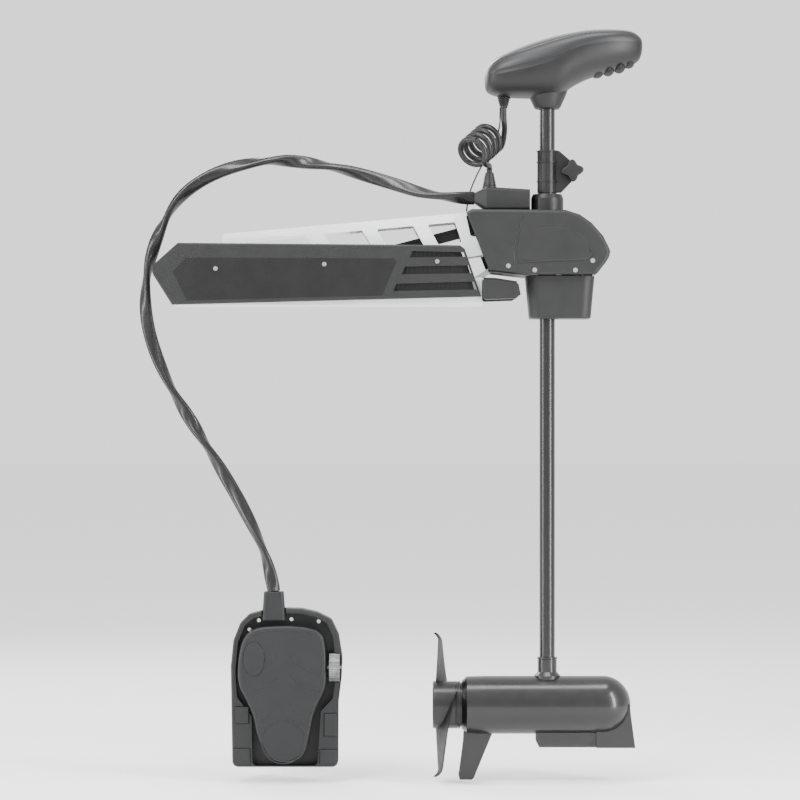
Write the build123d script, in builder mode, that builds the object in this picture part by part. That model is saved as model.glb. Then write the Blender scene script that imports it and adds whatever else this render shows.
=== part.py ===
from build123d import *
import math
import os

os.makedirs("parts", exist_ok=True)

# Millimetres. +X points from the deck mount towards the bow end, +Z is up and Y runs across.
# The origin is the centre of the deck mount's underside.

# ---- driving dimensions ----
shaft_x = 417.0
shaft_radius = 14.75
shaft_bottom = -700.0
shaft_top = 395.0
slide_gap = 0.08

rail_left, rail_right = -298.0, 290.0
rail_half_width = 66.0
rail_wall = 6.0
rail_height = 52.0
floor_top = 8.0
deck_hole_radius = 4.3
deck_holes_long = 420.0
deck_holes_wide = 88.9

cover_depth = 16.0
cover_wall = 3.2

arm_pivot = (-150.0, 84.0)
housing_pivot = (298.0, 114.0)
link_pivot = (-169.0, 30.0)
link_far = (304.0, 154.0)
gas_pivot = (200.0, 22.0)
gas_far = (-60.0, 91.0)
gas_y = 28.0
latch_pivot = (240.0, 17.0)
striker = (262.0, 38.0)
arm_inner, arm_outer = 40.0, 46.0
pin_radius = 8.0

housing_half = 75.0
housing_wall = 3.2
bucket_bottom = -25.0
gear_module = 1.5
steer_teeth, pinion_teeth = 48, 16
pinion_x = shaft_x + gear_module * (steer_teeth + pinion_teeth) / 2
gear_low, gear_high = 104.0, 116.0

motor_z = -765.6
motor_radius = 55.5
motor_axis = Axis((0, 0, motor_z), (1, 0, 0))
prop_tip = 138.8

pedal_x = -83.0
pedal_low, pedal_high = -883.8, -579.8
pedal_axle_z = -735.0


# ---- shared shapes ----
def add_plate(points, y_low, y_high, mode=Mode.ADD):
    """An outline of (x, z) points carried across Y."""
    with BuildSketch(Plane.XZ.offset(-y_low)) as outline:
        with BuildLine():
            Polyline(*points, close=True)
        make_face()
    extrude(outline.sketch, amount=y_low - y_high, mode=mode)


def add_box(x_span, y_span, z_span, mode=Mode.ADD):
    """A box between its low and high faces."""
    middle = [(low + high) / 2 for low, high in (x_span, y_span, z_span)]
    with Locations(tuple(middle)):
        Box(x_span[1] - x_span[0], y_span[1] - y_span[0], z_span[1] - z_span[0], mode=mode)


def add_cross_pin(place, radius, y_low, y_high, mode=Mode.ADD):
    """A cylinder along Y through the point (x, z)."""
    with Locations(Location((place[0], (y_low + y_high) / 2, place[1]), (90, 0, 0))):
        Cylinder(radius, y_high - y_low, mode=mode)


def add_post(x, y, radius, z_low, z_high, mode=Mode.ADD):
    """An upright cylinder."""
    with Locations((x, y, (z_low + z_high) / 2)):
        Cylinder(radius, z_high - z_low, mode=mode)


def add_turned(points, axis, mode=Mode.ADD):
    """A half profile of (x, z) points turned about an axis."""
    with BuildSketch(Plane.XZ) as half:
        with BuildLine():
            Polyline(*points, close=True)
        make_face()
    revolve(half.sketch, axis=axis, mode=mode)


def add_motor_turned(profile, mode=Mode.ADD):
    """A profile of (x, radius) points turned about the motor's axis."""
    add_turned([(x, motor_z + radius) for x, radius in profile], motor_axis, mode)


def add_round_stack(sections, mode=Mode.ADD):
    """A loft through (z, x, width_x, width_y, corner) rounded rectangles."""
    outlines = []
    for z, x, width_x, width_y, corner in sections:
        with BuildSketch(Plane.XY.offset(z)) as section:
            with Locations((x, 0)):
                RectangleRounded(width_x, width_y, corner)
        outlines.append(section.sketch)
    loft(outlines, mode=mode)


def add_oval_stack(sections, inset=0.0, mode=Mode.ADD):
    """A loft along X through (x, z_low, z_high, half_width) ovals."""
    outlines = []
    for x, z_low, z_high, half_width in sections:
        with BuildSketch(Plane.YZ.offset(x)) as section:
            with Locations((0, (z_low + z_high) / 2)):
                Ellipse(half_width - inset, (z_high - z_low) / 2 - inset)
        outlines.append(section.sketch)
    loft(outlines, mode=mode)


def both_sides(low, high):
    """The same span on the near side and on the far side."""
    return [(-high, -low), (low, high)]


def toward(start, end, distance):
    """The point at a distance from start on the way to end."""
    length = math.dist(start, end)
    return tuple(s + (e - s) * distance / length for s, e in zip(start, end))


def bar_outline(start, end, half_height):
    """The four corners of a straight bar between two points."""
    length = math.dist(start, end)
    across = (-(end[1] - start[1]) / length * half_height, (end[0] - start[0]) / length * half_height)
    return [
        (start[0] + across[0], start[1] + across[1]),
        (end[0] + across[0], end[1] + across[1]),
        (end[0] - across[0], end[1] - across[1]),
        (start[0] - across[0], start[1] - across[1]),
    ]


# ---- deck mount ----
with BuildPart() as base_rail:
    with BuildSketch(Plane.YZ.offset(rail_left)):
        with Locations((0, rail_height / 2)):
            Rectangle(2 * rail_half_width, rail_height)
        with Locations((0, floor_top + rail_height / 2)):
            Rectangle(2 * (rail_half_width - rail_wall), rail_height, mode=Mode.SUBTRACT)
    extrude(amount=rail_right - rail_left)
    with GridLocations(deck_holes_long, deck_holes_wide, 2, 2):
        Cylinder(deck_hole_radius, 3 * floor_top, mode=Mode.SUBTRACT)
base_rail.part.label = "base_rail"
export_step(base_rail.part, "parts/base_rail.step")

cover_outline = [
    (-286.7, 117.5), (-336.6, 73.0), (-334.1, 57.6), (-298.0, 0.3),
    (288.6, 15.6), (256.9, 106.2), (247.9, 112.9),
]
cover_hollow = [
    (-285.0, 114.0), (-332.5, 72.0), (-330.5, 59.0), (-296.0, 3.6),
    (284.0, 18.8), (253.5, 104.5), (246.5, 109.6),
]
inset_outline = [(-270.9, 89.3), (-296.6, 62.2), (-268.7, 8.0), (100.6, 17.0), (127.9, 81.2), (123.3, 87.9)]
inset_depth = 1.6
louvres = [
    [(157.0, 101.7), (257.0, 99.3), (259.0, 91.0), (153.0, 89.3)],
    [(144.0, 72.2), (266.0, 74.5), (270.5, 59.5), (137.0, 57.7)],
    [(128.0, 39.5), (279.6, 44.0), (282.0, 29.0), (121.0, 26.0)],
]
cover_screw_places = [(-215.0, 68.5), (-9.0, 76.6), (204.9, 82.0)]
cover_face = -(rail_half_width + cover_depth)

with BuildPart() as side_cover_front:
    add_plate(cover_outline, cover_face, -rail_half_width)
    chamfer(side_cover_front.faces().sort_by(Axis.Y)[0].outer_wire().edges(), length=2.6)
    add_plate(cover_hollow, cover_face + cover_wall, -rail_half_width, Mode.SUBTRACT)
    for place in cover_screw_places:
        add_cross_pin(place, 6, cover_face + cover_wall, -rail_half_width)
    add_plate(inset_outline, cover_face, cover_face + inset_depth, Mode.SUBTRACT)
    for slot in louvres:
        add_plate(slot, cover_face, cover_face + cover_wall, Mode.SUBTRACT)
    for place in cover_screw_places:
        add_cross_pin(place, 2.1, cover_face, -rail_half_width, Mode.SUBTRACT)
side_cover_front.part.label = "side_cover_front"
export_step(side_cover_front.part, "parts/side_cover_front.step")

with BuildPart() as side_cover_back:
    mirror(side_cover_front.part, about=Plane.XZ)
side_cover_back.part.label = "side_cover_back"
export_step(side_cover_back.part, "parts/side_cover_back.step")

with BuildPart() as inset_panels:
    add_plate(inset_outline, cover_face, cover_face + inset_depth)
    for place in cover_screw_places[:2]:
        add_cross_pin(place, 2.1, cover_face, cover_face + inset_depth, Mode.SUBTRACT)
    mirror(about=Plane.XZ)
inset_panels.part.label = "inset_panels"
export_step(inset_panels.part, "parts/inset_panels.step")

with BuildPart() as cover_screws:
    for place in cover_screw_places:
        add_cross_pin(place, 4.2, cover_face - 2.4, cover_face)
        add_cross_pin(place, 2.1, cover_face, -rail_half_width)
        add_cross_pin(place, 1.6, cover_face - 2.4, cover_face - 1.2, Mode.SUBTRACT)
    mirror(about=Plane.XZ)
cover_screws.part.label = "cover_screws"
export_step(cover_screws.part, "parts/cover_screws.step")

rest_tongue = [(238.0, floor_top), (238.0, 44.0), (rail_right + 1, 46.5), (rail_right + 1, floor_top)]
rest_wedge = [
    (rail_right + 1, 16.0), (rail_right + 1, 48.0), (317.0, 46.8), (359.0, 40.3), (363.3, 19.4),
    (352.0, 12.0), (297.0, 10.0),
]
rest_top = [(rail_right + 3, 47.95), (317.0, 46.85), (356.0, 40.82), (356.6, 44.6), (317.6, 50.8), (293.2, 51.8)]
rest_inner = 50.0
with BuildPart() as motor_rests:
    add_plate(rest_tongue, rest_inner, rail_half_width - rail_wall)
    add_plate(rest_wedge, rest_inner, rail_half_width + cover_depth)
    mirror(about=Plane.XZ)
motor_rests.part.label = "motor_rests"
export_step(motor_rests.part, "parts/motor_rests.step")

with BuildPart() as rest_pads:
    add_plate(rest_top, rest_inner + 3, rail_half_width + cover_depth - 3)
    mirror(about=Plane.XZ)
rest_pads.part.label = "rest_pads"
export_step(rest_pads.part, "parts/rest_pads.step")

bracket_sheet = 3.0
with BuildPart() as floor_brackets:
    add_box((-192, -104), (-60, 60), (floor_top, floor_top + bracket_sheet))
    for y_low, y_high in both_sides(50, 60):
        add_plate([(-180, floor_top), (-170, 84), (-130, 84), (-108, floor_top)], y_low, y_high)
        add_cross_pin(arm_pivot, 20, y_low, y_high)
    for y_low, y_high in both_sides(13, 18):
        add_plate([(-186, floor_top), (-180, 30), (-158, 30), (-152, floor_top)], y_low, y_high)
        add_cross_pin(link_pivot, 11, y_low, y_high)
    add_cross_pin(arm_pivot, pin_radius, -60, 60, Mode.SUBTRACT)
    add_cross_pin(link_pivot, 5, -18, 18, Mode.SUBTRACT)
    for y_low, y_high in both_sides(38.5, 47.5):
        add_box((-172, -136), (y_low, y_high), (floor_top, floor_top + bracket_sheet), Mode.SUBTRACT)
    add_box((182, 222), (8, 46), (floor_top, floor_top + bracket_sheet))
    for y_low, y_high in ((15.5, 20.5), (35.5, 40.5)):
        add_plate([(188, floor_top), (193, 22), (207, 22), (214, floor_top)], y_low, y_high)
        add_cross_pin(gas_pivot, 7.5, y_low, y_high)
    add_cross_pin(gas_pivot, 4, 15, 41, Mode.SUBTRACT)
    add_box((228, 254), (-18, 7.4), (floor_top, floor_top + bracket_sheet))
    for y_low, y_high in both_sides(4.6, 7.4):
        add_plate([(231, floor_top), (234, 17), (246, 17), (250, floor_top)], y_low, y_high)
        add_cross_pin(latch_pivot, 6, y_low, y_high)
    add_cross_pin(latch_pivot, 3, -8, 8, Mode.SUBTRACT)
floor_brackets.part.label = "floor_brackets"
export_step(floor_brackets.part, "parts/floor_brackets.step")

with BuildPart() as pivot_pins:
    for y_low, y_high in both_sides(38.6, 60):
        add_cross_pin(arm_pivot, pin_radius, y_low, y_high)
    add_cross_pin(link_pivot, 5, -19, 18)
    add_cross_pin(gas_pivot, 4, 15.5, 40.5)
    add_cross_pin(latch_pivot, 3, -7.4, 7.4)
pivot_pins.part.label = "pivot_pins"
export_step(pivot_pins.part, "parts/pivot_pins.step")

latch_open = 20.0
hook_closed = [(-4, 2), (0, 23), (6, 33), (26, 33), (26, 26), (14, 25), (7, 17), (4, -2)]
turn_cos, turn_sin = math.cos(math.radians(latch_open)), math.sin(math.radians(latch_open))
hook_outline = [
    (latch_pivot[0] + x * turn_cos - z * turn_sin, latch_pivot[1] + x * turn_sin + z * turn_cos)
    for x, z in hook_closed
]
with BuildPart() as latch_hook:
    add_plate(hook_outline, -4, 4)
    add_cross_pin(latch_pivot, 5.5, -4.3, 4.3)
    add_cross_pin(latch_pivot, 3.05, -4.3, 4.3, Mode.SUBTRACT)
latch_hook.part.label = "latch_hook"
export_step(latch_hook.part, "parts/latch_hook.step")

# ---- folding arms ----
arm_outline = [
    (-205.0, 122.0), (-203.0, 135.8), (259.0, 176.2), (269.0, 131.0), (298.0, 131.0), (298.0, 97.0),
    (240.0, 88.0), (-60.0, 66.0), (-150.0, 62.0), (-172.0, 84.0),
]
arm_windows = [
    [(-168.0, 122.4), (-46.7, 133.0), (-24.0, 108.0), (-158.0, 108.0)],
    [(-12.7, 136.0), (62.2, 142.6), (88.0, 100.0), (18.0, 96.0)],
    [(89.3, 145.0), (159.4, 151.2), (184.0, 106.0), (116.0, 101.0)],
    [(187.0, 153.6), (239.0, 158.4), (252.0, 120.0), (212.0, 108.0)],
]
with BuildPart() as main_arm:
    add_plate(arm_outline, -arm_outer, -arm_inner)
    add_cross_pin(arm_pivot, 22, -arm_outer, -arm_inner)
    add_cross_pin(housing_pivot, 17, -arm_outer, -arm_inner)
    for window in arm_windows:
        add_plate(window, -arm_outer, -arm_inner, Mode.SUBTRACT)
    fillet(main_arm.edges().filter_by(Axis.Y).filter_by(lambda edge: 96 < edge.center().Z < 164
           and -170 < edge.center().X < 253), radius=3)
    for centre in (arm_pivot, housing_pivot):
        add_cross_pin(centre, 11, -arm_outer, -arm_inner, Mode.SUBTRACT)
    mirror(about=Plane.XZ)
    add_plate([(30, 151.2), (30, 156.2), (240, 174.5), (240, 169.5)], -arm_inner, arm_inner)
    add_cross_pin((196, 96), 6, -arm_inner, arm_inner)
    add_cross_pin(gas_far, 4, 38.5, arm_inner)
main_arm.part.label = "main_arm"
export_step(main_arm.part, "parts/main_arm.step")

with BuildPart() as arm_bushings:
    for centre in (arm_pivot, housing_pivot):
        add_cross_pin(centre, 11, -arm_outer, -arm_inner)
        add_cross_pin(centre, 14, -arm_outer - 3.6, -arm_outer)
        add_cross_pin(centre, pin_radius + 0.05, -50, -arm_inner, Mode.SUBTRACT)
    mirror(about=Plane.XZ)
arm_bushings.part.label = "arm_bushings"
export_step(arm_bushings.part, "parts/arm_bushings.step")

with BuildPart() as inner_link:
    add_plate(bar_outline(link_pivot, link_far, 10), -12, 12)
    add_plate(bar_outline(toward(link_pivot, link_far, 40), toward(link_pivot, link_far, 440), 6), -12, -9,
              Mode.SUBTRACT)
    add_plate(bar_outline(toward(link_pivot, link_far, 40), toward(link_pivot, link_far, 440), 6), 9, 12,
              Mode.SUBTRACT)
    for centre in (link_pivot, link_far):
        add_cross_pin(centre, 13, -12, 12)
    for centre in (link_pivot, link_far):
        add_cross_pin(centre, 5.05, -12, 12, Mode.SUBTRACT)
    add_cross_pin((194, 110), 12, -12, 12, Mode.SUBTRACT)
inner_link.part.label = "inner_link"
export_step(inner_link.part, "parts/inner_link.step")

gas_length = math.dist(gas_pivot, gas_far)
gas_direction = ((gas_far[0] - gas_pivot[0]) / gas_length, 0, (gas_far[1] - gas_pivot[1]) / gas_length)
gas_plane = Plane(origin=(gas_pivot[0], gas_y, gas_pivot[1]), x_dir=(0, 1, 0), z_dir=gas_direction)
gas_body_length = 216.0
gas_rod_start = 22.0

with BuildPart() as gas_cylinder:
    with BuildSketch(gas_plane.offset(10)):
        Circle(9)
    extrude(amount=gas_body_length - 10)
    with BuildSketch(gas_plane.offset(16)):
        Circle(7.6)
    extrude(amount=gas_body_length - 22, mode=Mode.SUBTRACT)
    with BuildSketch(gas_plane.offset(gas_body_length - 8)):
        Circle(4.06)
    extrude(amount=10, mode=Mode.SUBTRACT)
    add_plate(bar_outline(gas_pivot, toward(gas_pivot, gas_far, 12), 5), gas_y - 5, gas_y + 5)
    add_cross_pin(gas_pivot, 7.5, gas_y - 5, gas_y + 5)
    add_cross_pin(gas_pivot, 4.05, gas_y - 6, gas_y + 6, Mode.SUBTRACT)
gas_cylinder.part.label = "gas_cylinder"
export_step(gas_cylinder.part, "parts/gas_cylinder.step")

with BuildPart() as gas_rod:
    with BuildSketch(gas_plane.offset(gas_rod_start)):
        Circle(4)
    extrude(amount=gas_length - gas_rod_start)
    with BuildSketch(gas_plane.offset(gas_rod_start)):
        Circle(7.5)
    extrude(amount=6)
    add_cross_pin(gas_far, 8, gas_y - 7, gas_y + 7)
gas_rod.part.label = "gas_rod"
export_step(gas_rod.part, "parts/gas_rod.step")

# ---- steering housing ----
housing_outline = [
    (258.6, 176.0), (270.7, 182.2), (449.0, 180.5), (475.8, 172.0), (497.7, 156.5), (519.7, 132.0),
    (531.0, 109.6), (534.0, 100.5), (531.0, 90.0), (524.0, 79.0), (506.5, 57.0), (370.0, 56.0), (302.6, 63.7),
]
housing_hollow = [
    (240.0, 179.0), (449.0, 177.3), (474.2, 169.2), (495.4, 154.3), (517.0, 130.2),
    (528.0, 108.4), (530.8, 100.5), (528.0, 91.6), (521.2, 81.0), (503.0, 50.0), (383.0, 50.0), (378.0, 59.2),
    (290.0, 68.5),
]
bucket_top = 56.0
bucket_x = 440.6
bucket_sections = [(bucket_bottom, bucket_x, 116, 96, 20), (bucket_top, bucket_x, 131, 108, 22)]
bucket_hollow = [(bucket_bottom + 4, bucket_x, 110, 90, 17), (bucket_top + 3, bucket_x, 125, 102, 19)]

with BuildPart() as housing_cover_front:
    add_plate(housing_outline, -housing_half, 0)
    fillet(housing_cover_front.faces().sort_by(Axis.Y)[0].outer_wire().edges(), radius=7)
    add_plate([(355, 92), (362, 146), (488, 146), (497, 92), (486, 84), (366, 84)], -housing_half - 1.2,
              -housing_half)
    add_plate(housing_hollow, housing_wall - housing_half, 0, Mode.SUBTRACT)
    add_box((240, 300), (housing_wall - housing_half, 0), (70, 176.5), Mode.SUBTRACT)
    add_post(shaft_x, 0, 30, 170, 190, Mode.SUBTRACT)
    add_box((296, 332), (-17, 0), (52, 72), Mode.SUBTRACT)
    add_box((296, 304.5), (-48, 0), (58, 72), Mode.SUBTRACT)
    for place in ((390, 66), (467, 66), (340, 74), (500, 84)):
        add_cross_pin(place, 5, -housing_half + 1, 8 - housing_half)
    for place in ((390, 66), (467, 66), (340, 74), (500, 84)):
        add_cross_pin(place, 2.5, -housing_half - 1, 8 - housing_half, Mode.SUBTRACT)
        add_cross_pin(place, 4.6, -housing_half - 1, 3 - housing_half, Mode.SUBTRACT)
housing_cover_front.part.label = "housing_cover_front"
export_step(housing_cover_front.part, "parts/housing_cover_front.step")

with BuildPart() as housing_cover_back:
    mirror(housing_cover_front.part, about=Plane.XZ)
housing_cover_back.part.label = "housing_cover_back"
export_step(housing_cover_back.part, "parts/housing_cover_back.step")

with BuildPart() as housing_screws:
    for place in ((390, 66), (467, 66), (340, 74), (500, 84)):
        add_cross_pin(place, 4.4, -housing_half, 2.5 - housing_half)
        add_cross_pin(place, 2.4, 2.5 - housing_half, 10 - housing_half)
        add_cross_pin(place, 1.6, -housing_half, 1.2 - housing_half, Mode.SUBTRACT)
    mirror(about=Plane.XZ)
housing_screws.part.label = "housing_screws"
export_step(housing_screws.part, "parts/housing_screws.step")

with BuildPart() as housing_bucket:
    add_round_stack(bucket_sections)
    fillet(housing_bucket.faces().sort_by(Axis.Z)[0].edges(), radius=3)
    add_round_stack(bucket_hollow, Mode.SUBTRACT)
    add_post(shaft_x, 0, 21, bucket_bottom - 1, 0, Mode.SUBTRACT)
housing_bucket.part.label = "housing_bucket"
export_step(housing_bucket.part, "parts/housing_bucket.step")

sleeve_radius = 18.0
bushing_radius = 21.5
steering_motor_radius = 21.0
frame_side = [(298.0, 99.0), (330.0, 68.0), (372.0, 62.0), (480.0, 62.0), (490.0, 120.0), (470.0, 166.0),
              (345.0, 170.0), (298.0, 168.0)]
with BuildPart() as housing_frame:
    for y_low, y_high in both_sides(50, 56):
        add_plate(frame_side, y_low, y_high)
        add_cross_pin(housing_pivot, 15, y_low, y_high)
        add_cross_pin(link_far, 11, y_low, y_high)
    add_box((345, 480), (-50, 50), (66, 72))
    add_box((345, 470), (-50, 50), (152, 158))
    add_post(shaft_x, 0, 25, 66, 96)
    add_post(shaft_x, 0, 27, 128, 176)
    add_box((350, 358), (-50, 50), (72, 152))
    for y_low, y_high in both_sides(10, 14):
        add_plate([(262, 31), (256, 38), (262, 45), (310, 76), (352, 76), (352, 66), (312, 66)], y_low, y_high)
    add_box((335, 352), (-14, 14), (66, 76))
    add_post(shaft_x, 0, bushing_radius, 60, 180, Mode.SUBTRACT)
    add_post(pinion_x, 0, steering_motor_radius + 0.2, 60, 90, Mode.SUBTRACT)
    for y_low, y_high in both_sides(38.6, 50):
        add_cross_pin(housing_pivot, pin_radius, y_low, y_high)
    for y_low, y_high in both_sides(14, 50):
        add_cross_pin(link_far, 5, y_low, y_high)
    add_cross_pin(striker, 4, -14, 14)
housing_frame.part.label = "housing_frame"
export_step(housing_frame.part, "parts/housing_frame.step")

with BuildPart() as sleeve_bushings:
    for z_low, z_high in ((66, 96), (128, 176)):
        add_post(shaft_x, 0, bushing_radius, z_low, z_high)
        add_post(shaft_x, 0, sleeve_radius + slide_gap, z_low, z_high, Mode.SUBTRACT)
sleeve_bushings.part.label = "sleeve_bushings"
export_step(sleeve_bushings.part, "parts/sleeve_bushings.step")

with BuildPart() as steering_motor:
    add_post(pinion_x, 0, steering_motor_radius, -14, 72)
    add_post(pinion_x, 0, 12, 72, 80)
    add_post(pinion_x, 0, 4.06, 60, 81, Mode.SUBTRACT)
    fillet(steering_motor.faces().sort_by(Axis.Z)[0].edges(), radius=3)
steering_motor.part.label = "steering_motor"
export_step(steering_motor.part, "parts/steering_motor.step")

with BuildPart() as cap_ring:
    add_turned([(shaft_x + 19, 182), (shaft_x + 31, 182), (shaft_x + 31, 206), (shaft_x + 28, 214),
                (shaft_x + 19, 214)], Axis((shaft_x, 0, 0), (0, 0, 1)))
cap_ring.part.label = "cap_ring"
export_step(cap_ring.part, "parts/cap_ring.step")

junction_x, junction_top = 306.0, 227.5
with BuildPart() as junction_box:
    with BuildSketch(Plane.YZ.offset(277)) as mouth:
        with Locations((0, 207)):
            RectangleRounded(30, 20, 6)
    with BuildSketch(Plane.YZ.offset(300)) as shoulder:
        with Locations((0, 205)):
            RectangleRounded(60, 44.6, 6)
    with BuildSketch(Plane.YZ.offset(383)) as heel:
        with Locations((0, 202.6)):
            RectangleRounded(60, 40, 6)
    loft([mouth.sketch, shoulder.sketch])
    loft([shoulder.sketch, heel.sketch])
    add_turned([(junction_x, 226), (junction_x + 13, 226), (junction_x + 12, 236), (junction_x + 8, 256),
                (junction_x, 256)], Axis((junction_x, 0, 0), (0, 0, 1)))
junction_box.part.label = "junction_box"
export_step(junction_box.part, "parts/junction_box.step")


def add_gear(x, teeth, turn):
    """A spur gear with straight-flanked teeth, a little thinner than the gaps between them."""
    pitch = gear_module * teeth / 2
    step = 2 * math.pi / teeth
    outline = []
    for tooth in range(teeth):
        middle = math.radians(turn) + tooth * step
        for radius, share in ((pitch - 1.2 * gear_module, 0.34), (pitch, 0.22), (pitch + 0.8 * gear_module, 0.11)):
            outline.append((radius, middle - share * step))
        for radius, share in ((pitch + 0.8 * gear_module, 0.11), (pitch, 0.22), (pitch - 1.2 * gear_module, 0.34)):
            outline.append((radius, middle + share * step))
    corners = [(x + radius * math.cos(angle), radius * math.sin(angle)) for radius, angle in outline]
    with BuildSketch(Plane.XY.offset(gear_low)) as profile:
        with BuildLine():
            Polyline(*corners, close=True)
        make_face()
    extrude(profile.sketch, amount=gear_high - gear_low)


with BuildPart() as steering_pinion:
    add_gear(pinion_x, pinion_teeth, 180 / pinion_teeth)
    add_post(pinion_x, 0, 4, 61, gear_low)
steering_pinion.part.label = "steering_pinion"
export_step(steering_pinion.part, "parts/steering_pinion.step")

# ---- steering column ----
sleeve_bore = shaft_radius + slide_gap
with BuildPart() as steering_sleeve:
    add_post(shaft_x, 0, sleeve_radius, bucket_bottom + 1, 216)
    add_post(shaft_x, 0, sleeve_bore, bucket_bottom, 217, Mode.SUBTRACT)
steering_sleeve.part.label = "steering_sleeve"
export_step(steering_sleeve.part, "parts/steering_sleeve.step")

with BuildPart() as steering_gear:
    add_gear(shaft_x, steer_teeth, 0)
    add_post(shaft_x, 0, 24, gear_low - 4, gear_high + 4)
    add_post(shaft_x, 0, sleeve_radius, gear_low - 5, gear_high + 5, Mode.SUBTRACT)
steering_gear.part.label = "steering_gear"
export_step(steering_gear.part, "parts/steering_gear.step")

collar_low, collar_high = 217.0, 298.0
collar_radius = 18.2
knob_x, knob_z = 464.5, 258.5
with BuildPart() as depth_collar:
    add_post(shaft_x, 0, collar_radius, collar_low, collar_high)
    for z in (238, 275, 296):
        add_post(shaft_x, 0, collar_radius + 2.6, z, z + 2)
    for turn in range(15, 360, 30):
        with Locations(Location((shaft_x, 0, (collar_low + collar_high) / 2), (0, 0, turn))):
            with Locations((collar_radius, 0, 0)):
                Box(2.2, 2.6, collar_high - collar_low)
    for y_low, y_high in both_sides(2, 9):
        add_plate([(431, 217.5), (444, 217.5), (473, 248), (473, 268), (440, 297), (431, 297)], y_low, y_high)
    add_post(shaft_x, 0, sleeve_bore, collar_low - 1, collar_high + 1, Mode.SUBTRACT)
    add_box((430, 480), (-2, 2), (collar_low - 1, collar_high + 1), Mode.SUBTRACT)
    add_cross_pin((knob_x, knob_z), 4.05, -12, 12, Mode.SUBTRACT)
depth_collar.part.label = "depth_collar"
export_step(depth_collar.part, "parts/depth_collar.step")

with BuildPart() as collar_knob:
    add_cross_pin((knob_x, knob_z), 4, -12, 16)
    add_cross_pin((knob_x, knob_z), 10, -30, -9.4)
    for turn in range(45, 360, 90):
        lobe = (knob_x + 13 * math.cos(math.radians(turn)), knob_z + 13 * math.sin(math.radians(turn)))
        add_cross_pin(lobe, 9, -30, -12)
    add_cross_pin((knob_x, knob_z), 7, 9.4, 15)
collar_knob.part.label = "collar_knob"
export_step(collar_knob.part, "parts/collar_knob.step")

# ---- shaft and control head ----
with BuildPart() as shaft_tube:
    add_post(shaft_x, 0, shaft_radius, shaft_bottom, shaft_top)
    add_post(shaft_x, 0, shaft_radius - 2.5, shaft_bottom - 1, shaft_top + 1, Mode.SUBTRACT)
shaft_tube.part.label = "shaft_tube"
export_step(shaft_tube.part, "parts/shaft_tube.step")

head_sections = [
    (298.0, 418.0, 446.0, 30.0), (315.0, 407.0, 470.0, 50.0), (350.0, 403.0, 488.0, 64.0),
    (385.0, 400.0, 502.0, 72.0), (430.0, 405.0, 514.5, 75.0), (478.0, 426.0, 525.5, 72.0),
    (536.0, 449.0, 529.4, 62.0), (571.0, 459.0, 526.5, 48.0), (590.0, 472.0, 519.0, 34.0), (599.5, 486.0, 505.0, 16.0),
]
head_seam = Plane(origin=(299, 0, 441), x_dir=(0, 1, 0), z_dir=(-0.209, 0, 0.978))
head_wall = 3.5
socket_bottom = 377.0
head_gland_x, head_gland_low = 333.7, 381.0

with BuildPart() as head_lower_shell:
    add_oval_stack(head_sections)
    add_turned([(shaft_x, socket_bottom), (shaft_x + 22, socket_bottom), (shaft_x + 25, 380), (shaft_x + 27, 400),
                (shaft_x + 36, 418), (shaft_x, 418)], Axis((shaft_x, 0, 0), (0, 0, 1)))
    add_turned([(head_gland_x, head_gland_low), (head_gland_x + 10, head_gland_low), (head_gland_x + 15, 410),
                (head_gland_x, 410)], Axis((head_gland_x, 0, 0), (0, 0, 1)))
    add_oval_stack(head_sections[1:-1], head_wall, Mode.SUBTRACT)
    add_post(shaft_x, 0, 20, 395, 425)
    add_post(shaft_x, 0, shaft_radius, socket_bottom - 1, shaft_top, Mode.SUBTRACT)
    split(bisect_by=head_seam, keep=Keep.BOTTOM)
head_lower_shell.part.label = "head_lower_shell"
export_step(head_lower_shell.part, "parts/head_lower_shell.step")

with BuildPart() as head_top_shell:
    add_oval_stack(head_sections)
    add_oval_stack(head_sections[1:-1], head_wall, Mode.SUBTRACT)
    split(bisect_by=head_seam, keep=Keep.TOP)
head_top_shell.part.label = "head_top_shell"
export_step(head_top_shell.part, "parts/head_top_shell.step")

board_from_tip = 165.0
with BuildPart() as head_circuit_board:
    with BuildSketch(head_seam.offset(-16)):
        with Locations((0, -board_from_tip)):
            RectangleRounded(84, 130, 8)
    extrude(amount=1.6)
    with BuildSketch(head_seam.offset(-14.4)):
        with Locations((0, -board_from_tip)):
            with GridLocations(36, 40, 2, 3):
                Rectangle(20, 20)
    extrude(amount=4)
head_circuit_board.part.label = "head_circuit_board"
export_step(head_circuit_board.part, "parts/head_circuit_board.step")

with BuildPart() as head_bumpers:
    for x, z, half in ((522, 441.5, 16), (544, 444, 20), (566, 451, 16)):
        add_cross_pin((x, z), 9.5, -half, half)
    fillet(head_bumpers.edges().filter_by(GeomType.CIRCLE), radius=3)
    add_oval_stack(head_sections, 0, Mode.SUBTRACT)
head_bumpers.part.label = "head_bumpers"
export_step(head_bumpers.part, "parts/head_bumpers.step")

# ---- lower unit ----
can_left, can_right = 316.8, 524.0
can_wall = 4.0
drive_radius = 5.0
with BuildPart() as motor_can:
    add_motor_turned([(can_left, motor_radius - can_wall), (can_left, motor_radius), (can_right, motor_radius),
                      (can_right, motor_radius - can_wall)])
motor_can.part.label = "motor_can"
export_step(motor_can.part, "parts/motor_can.step")

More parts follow.
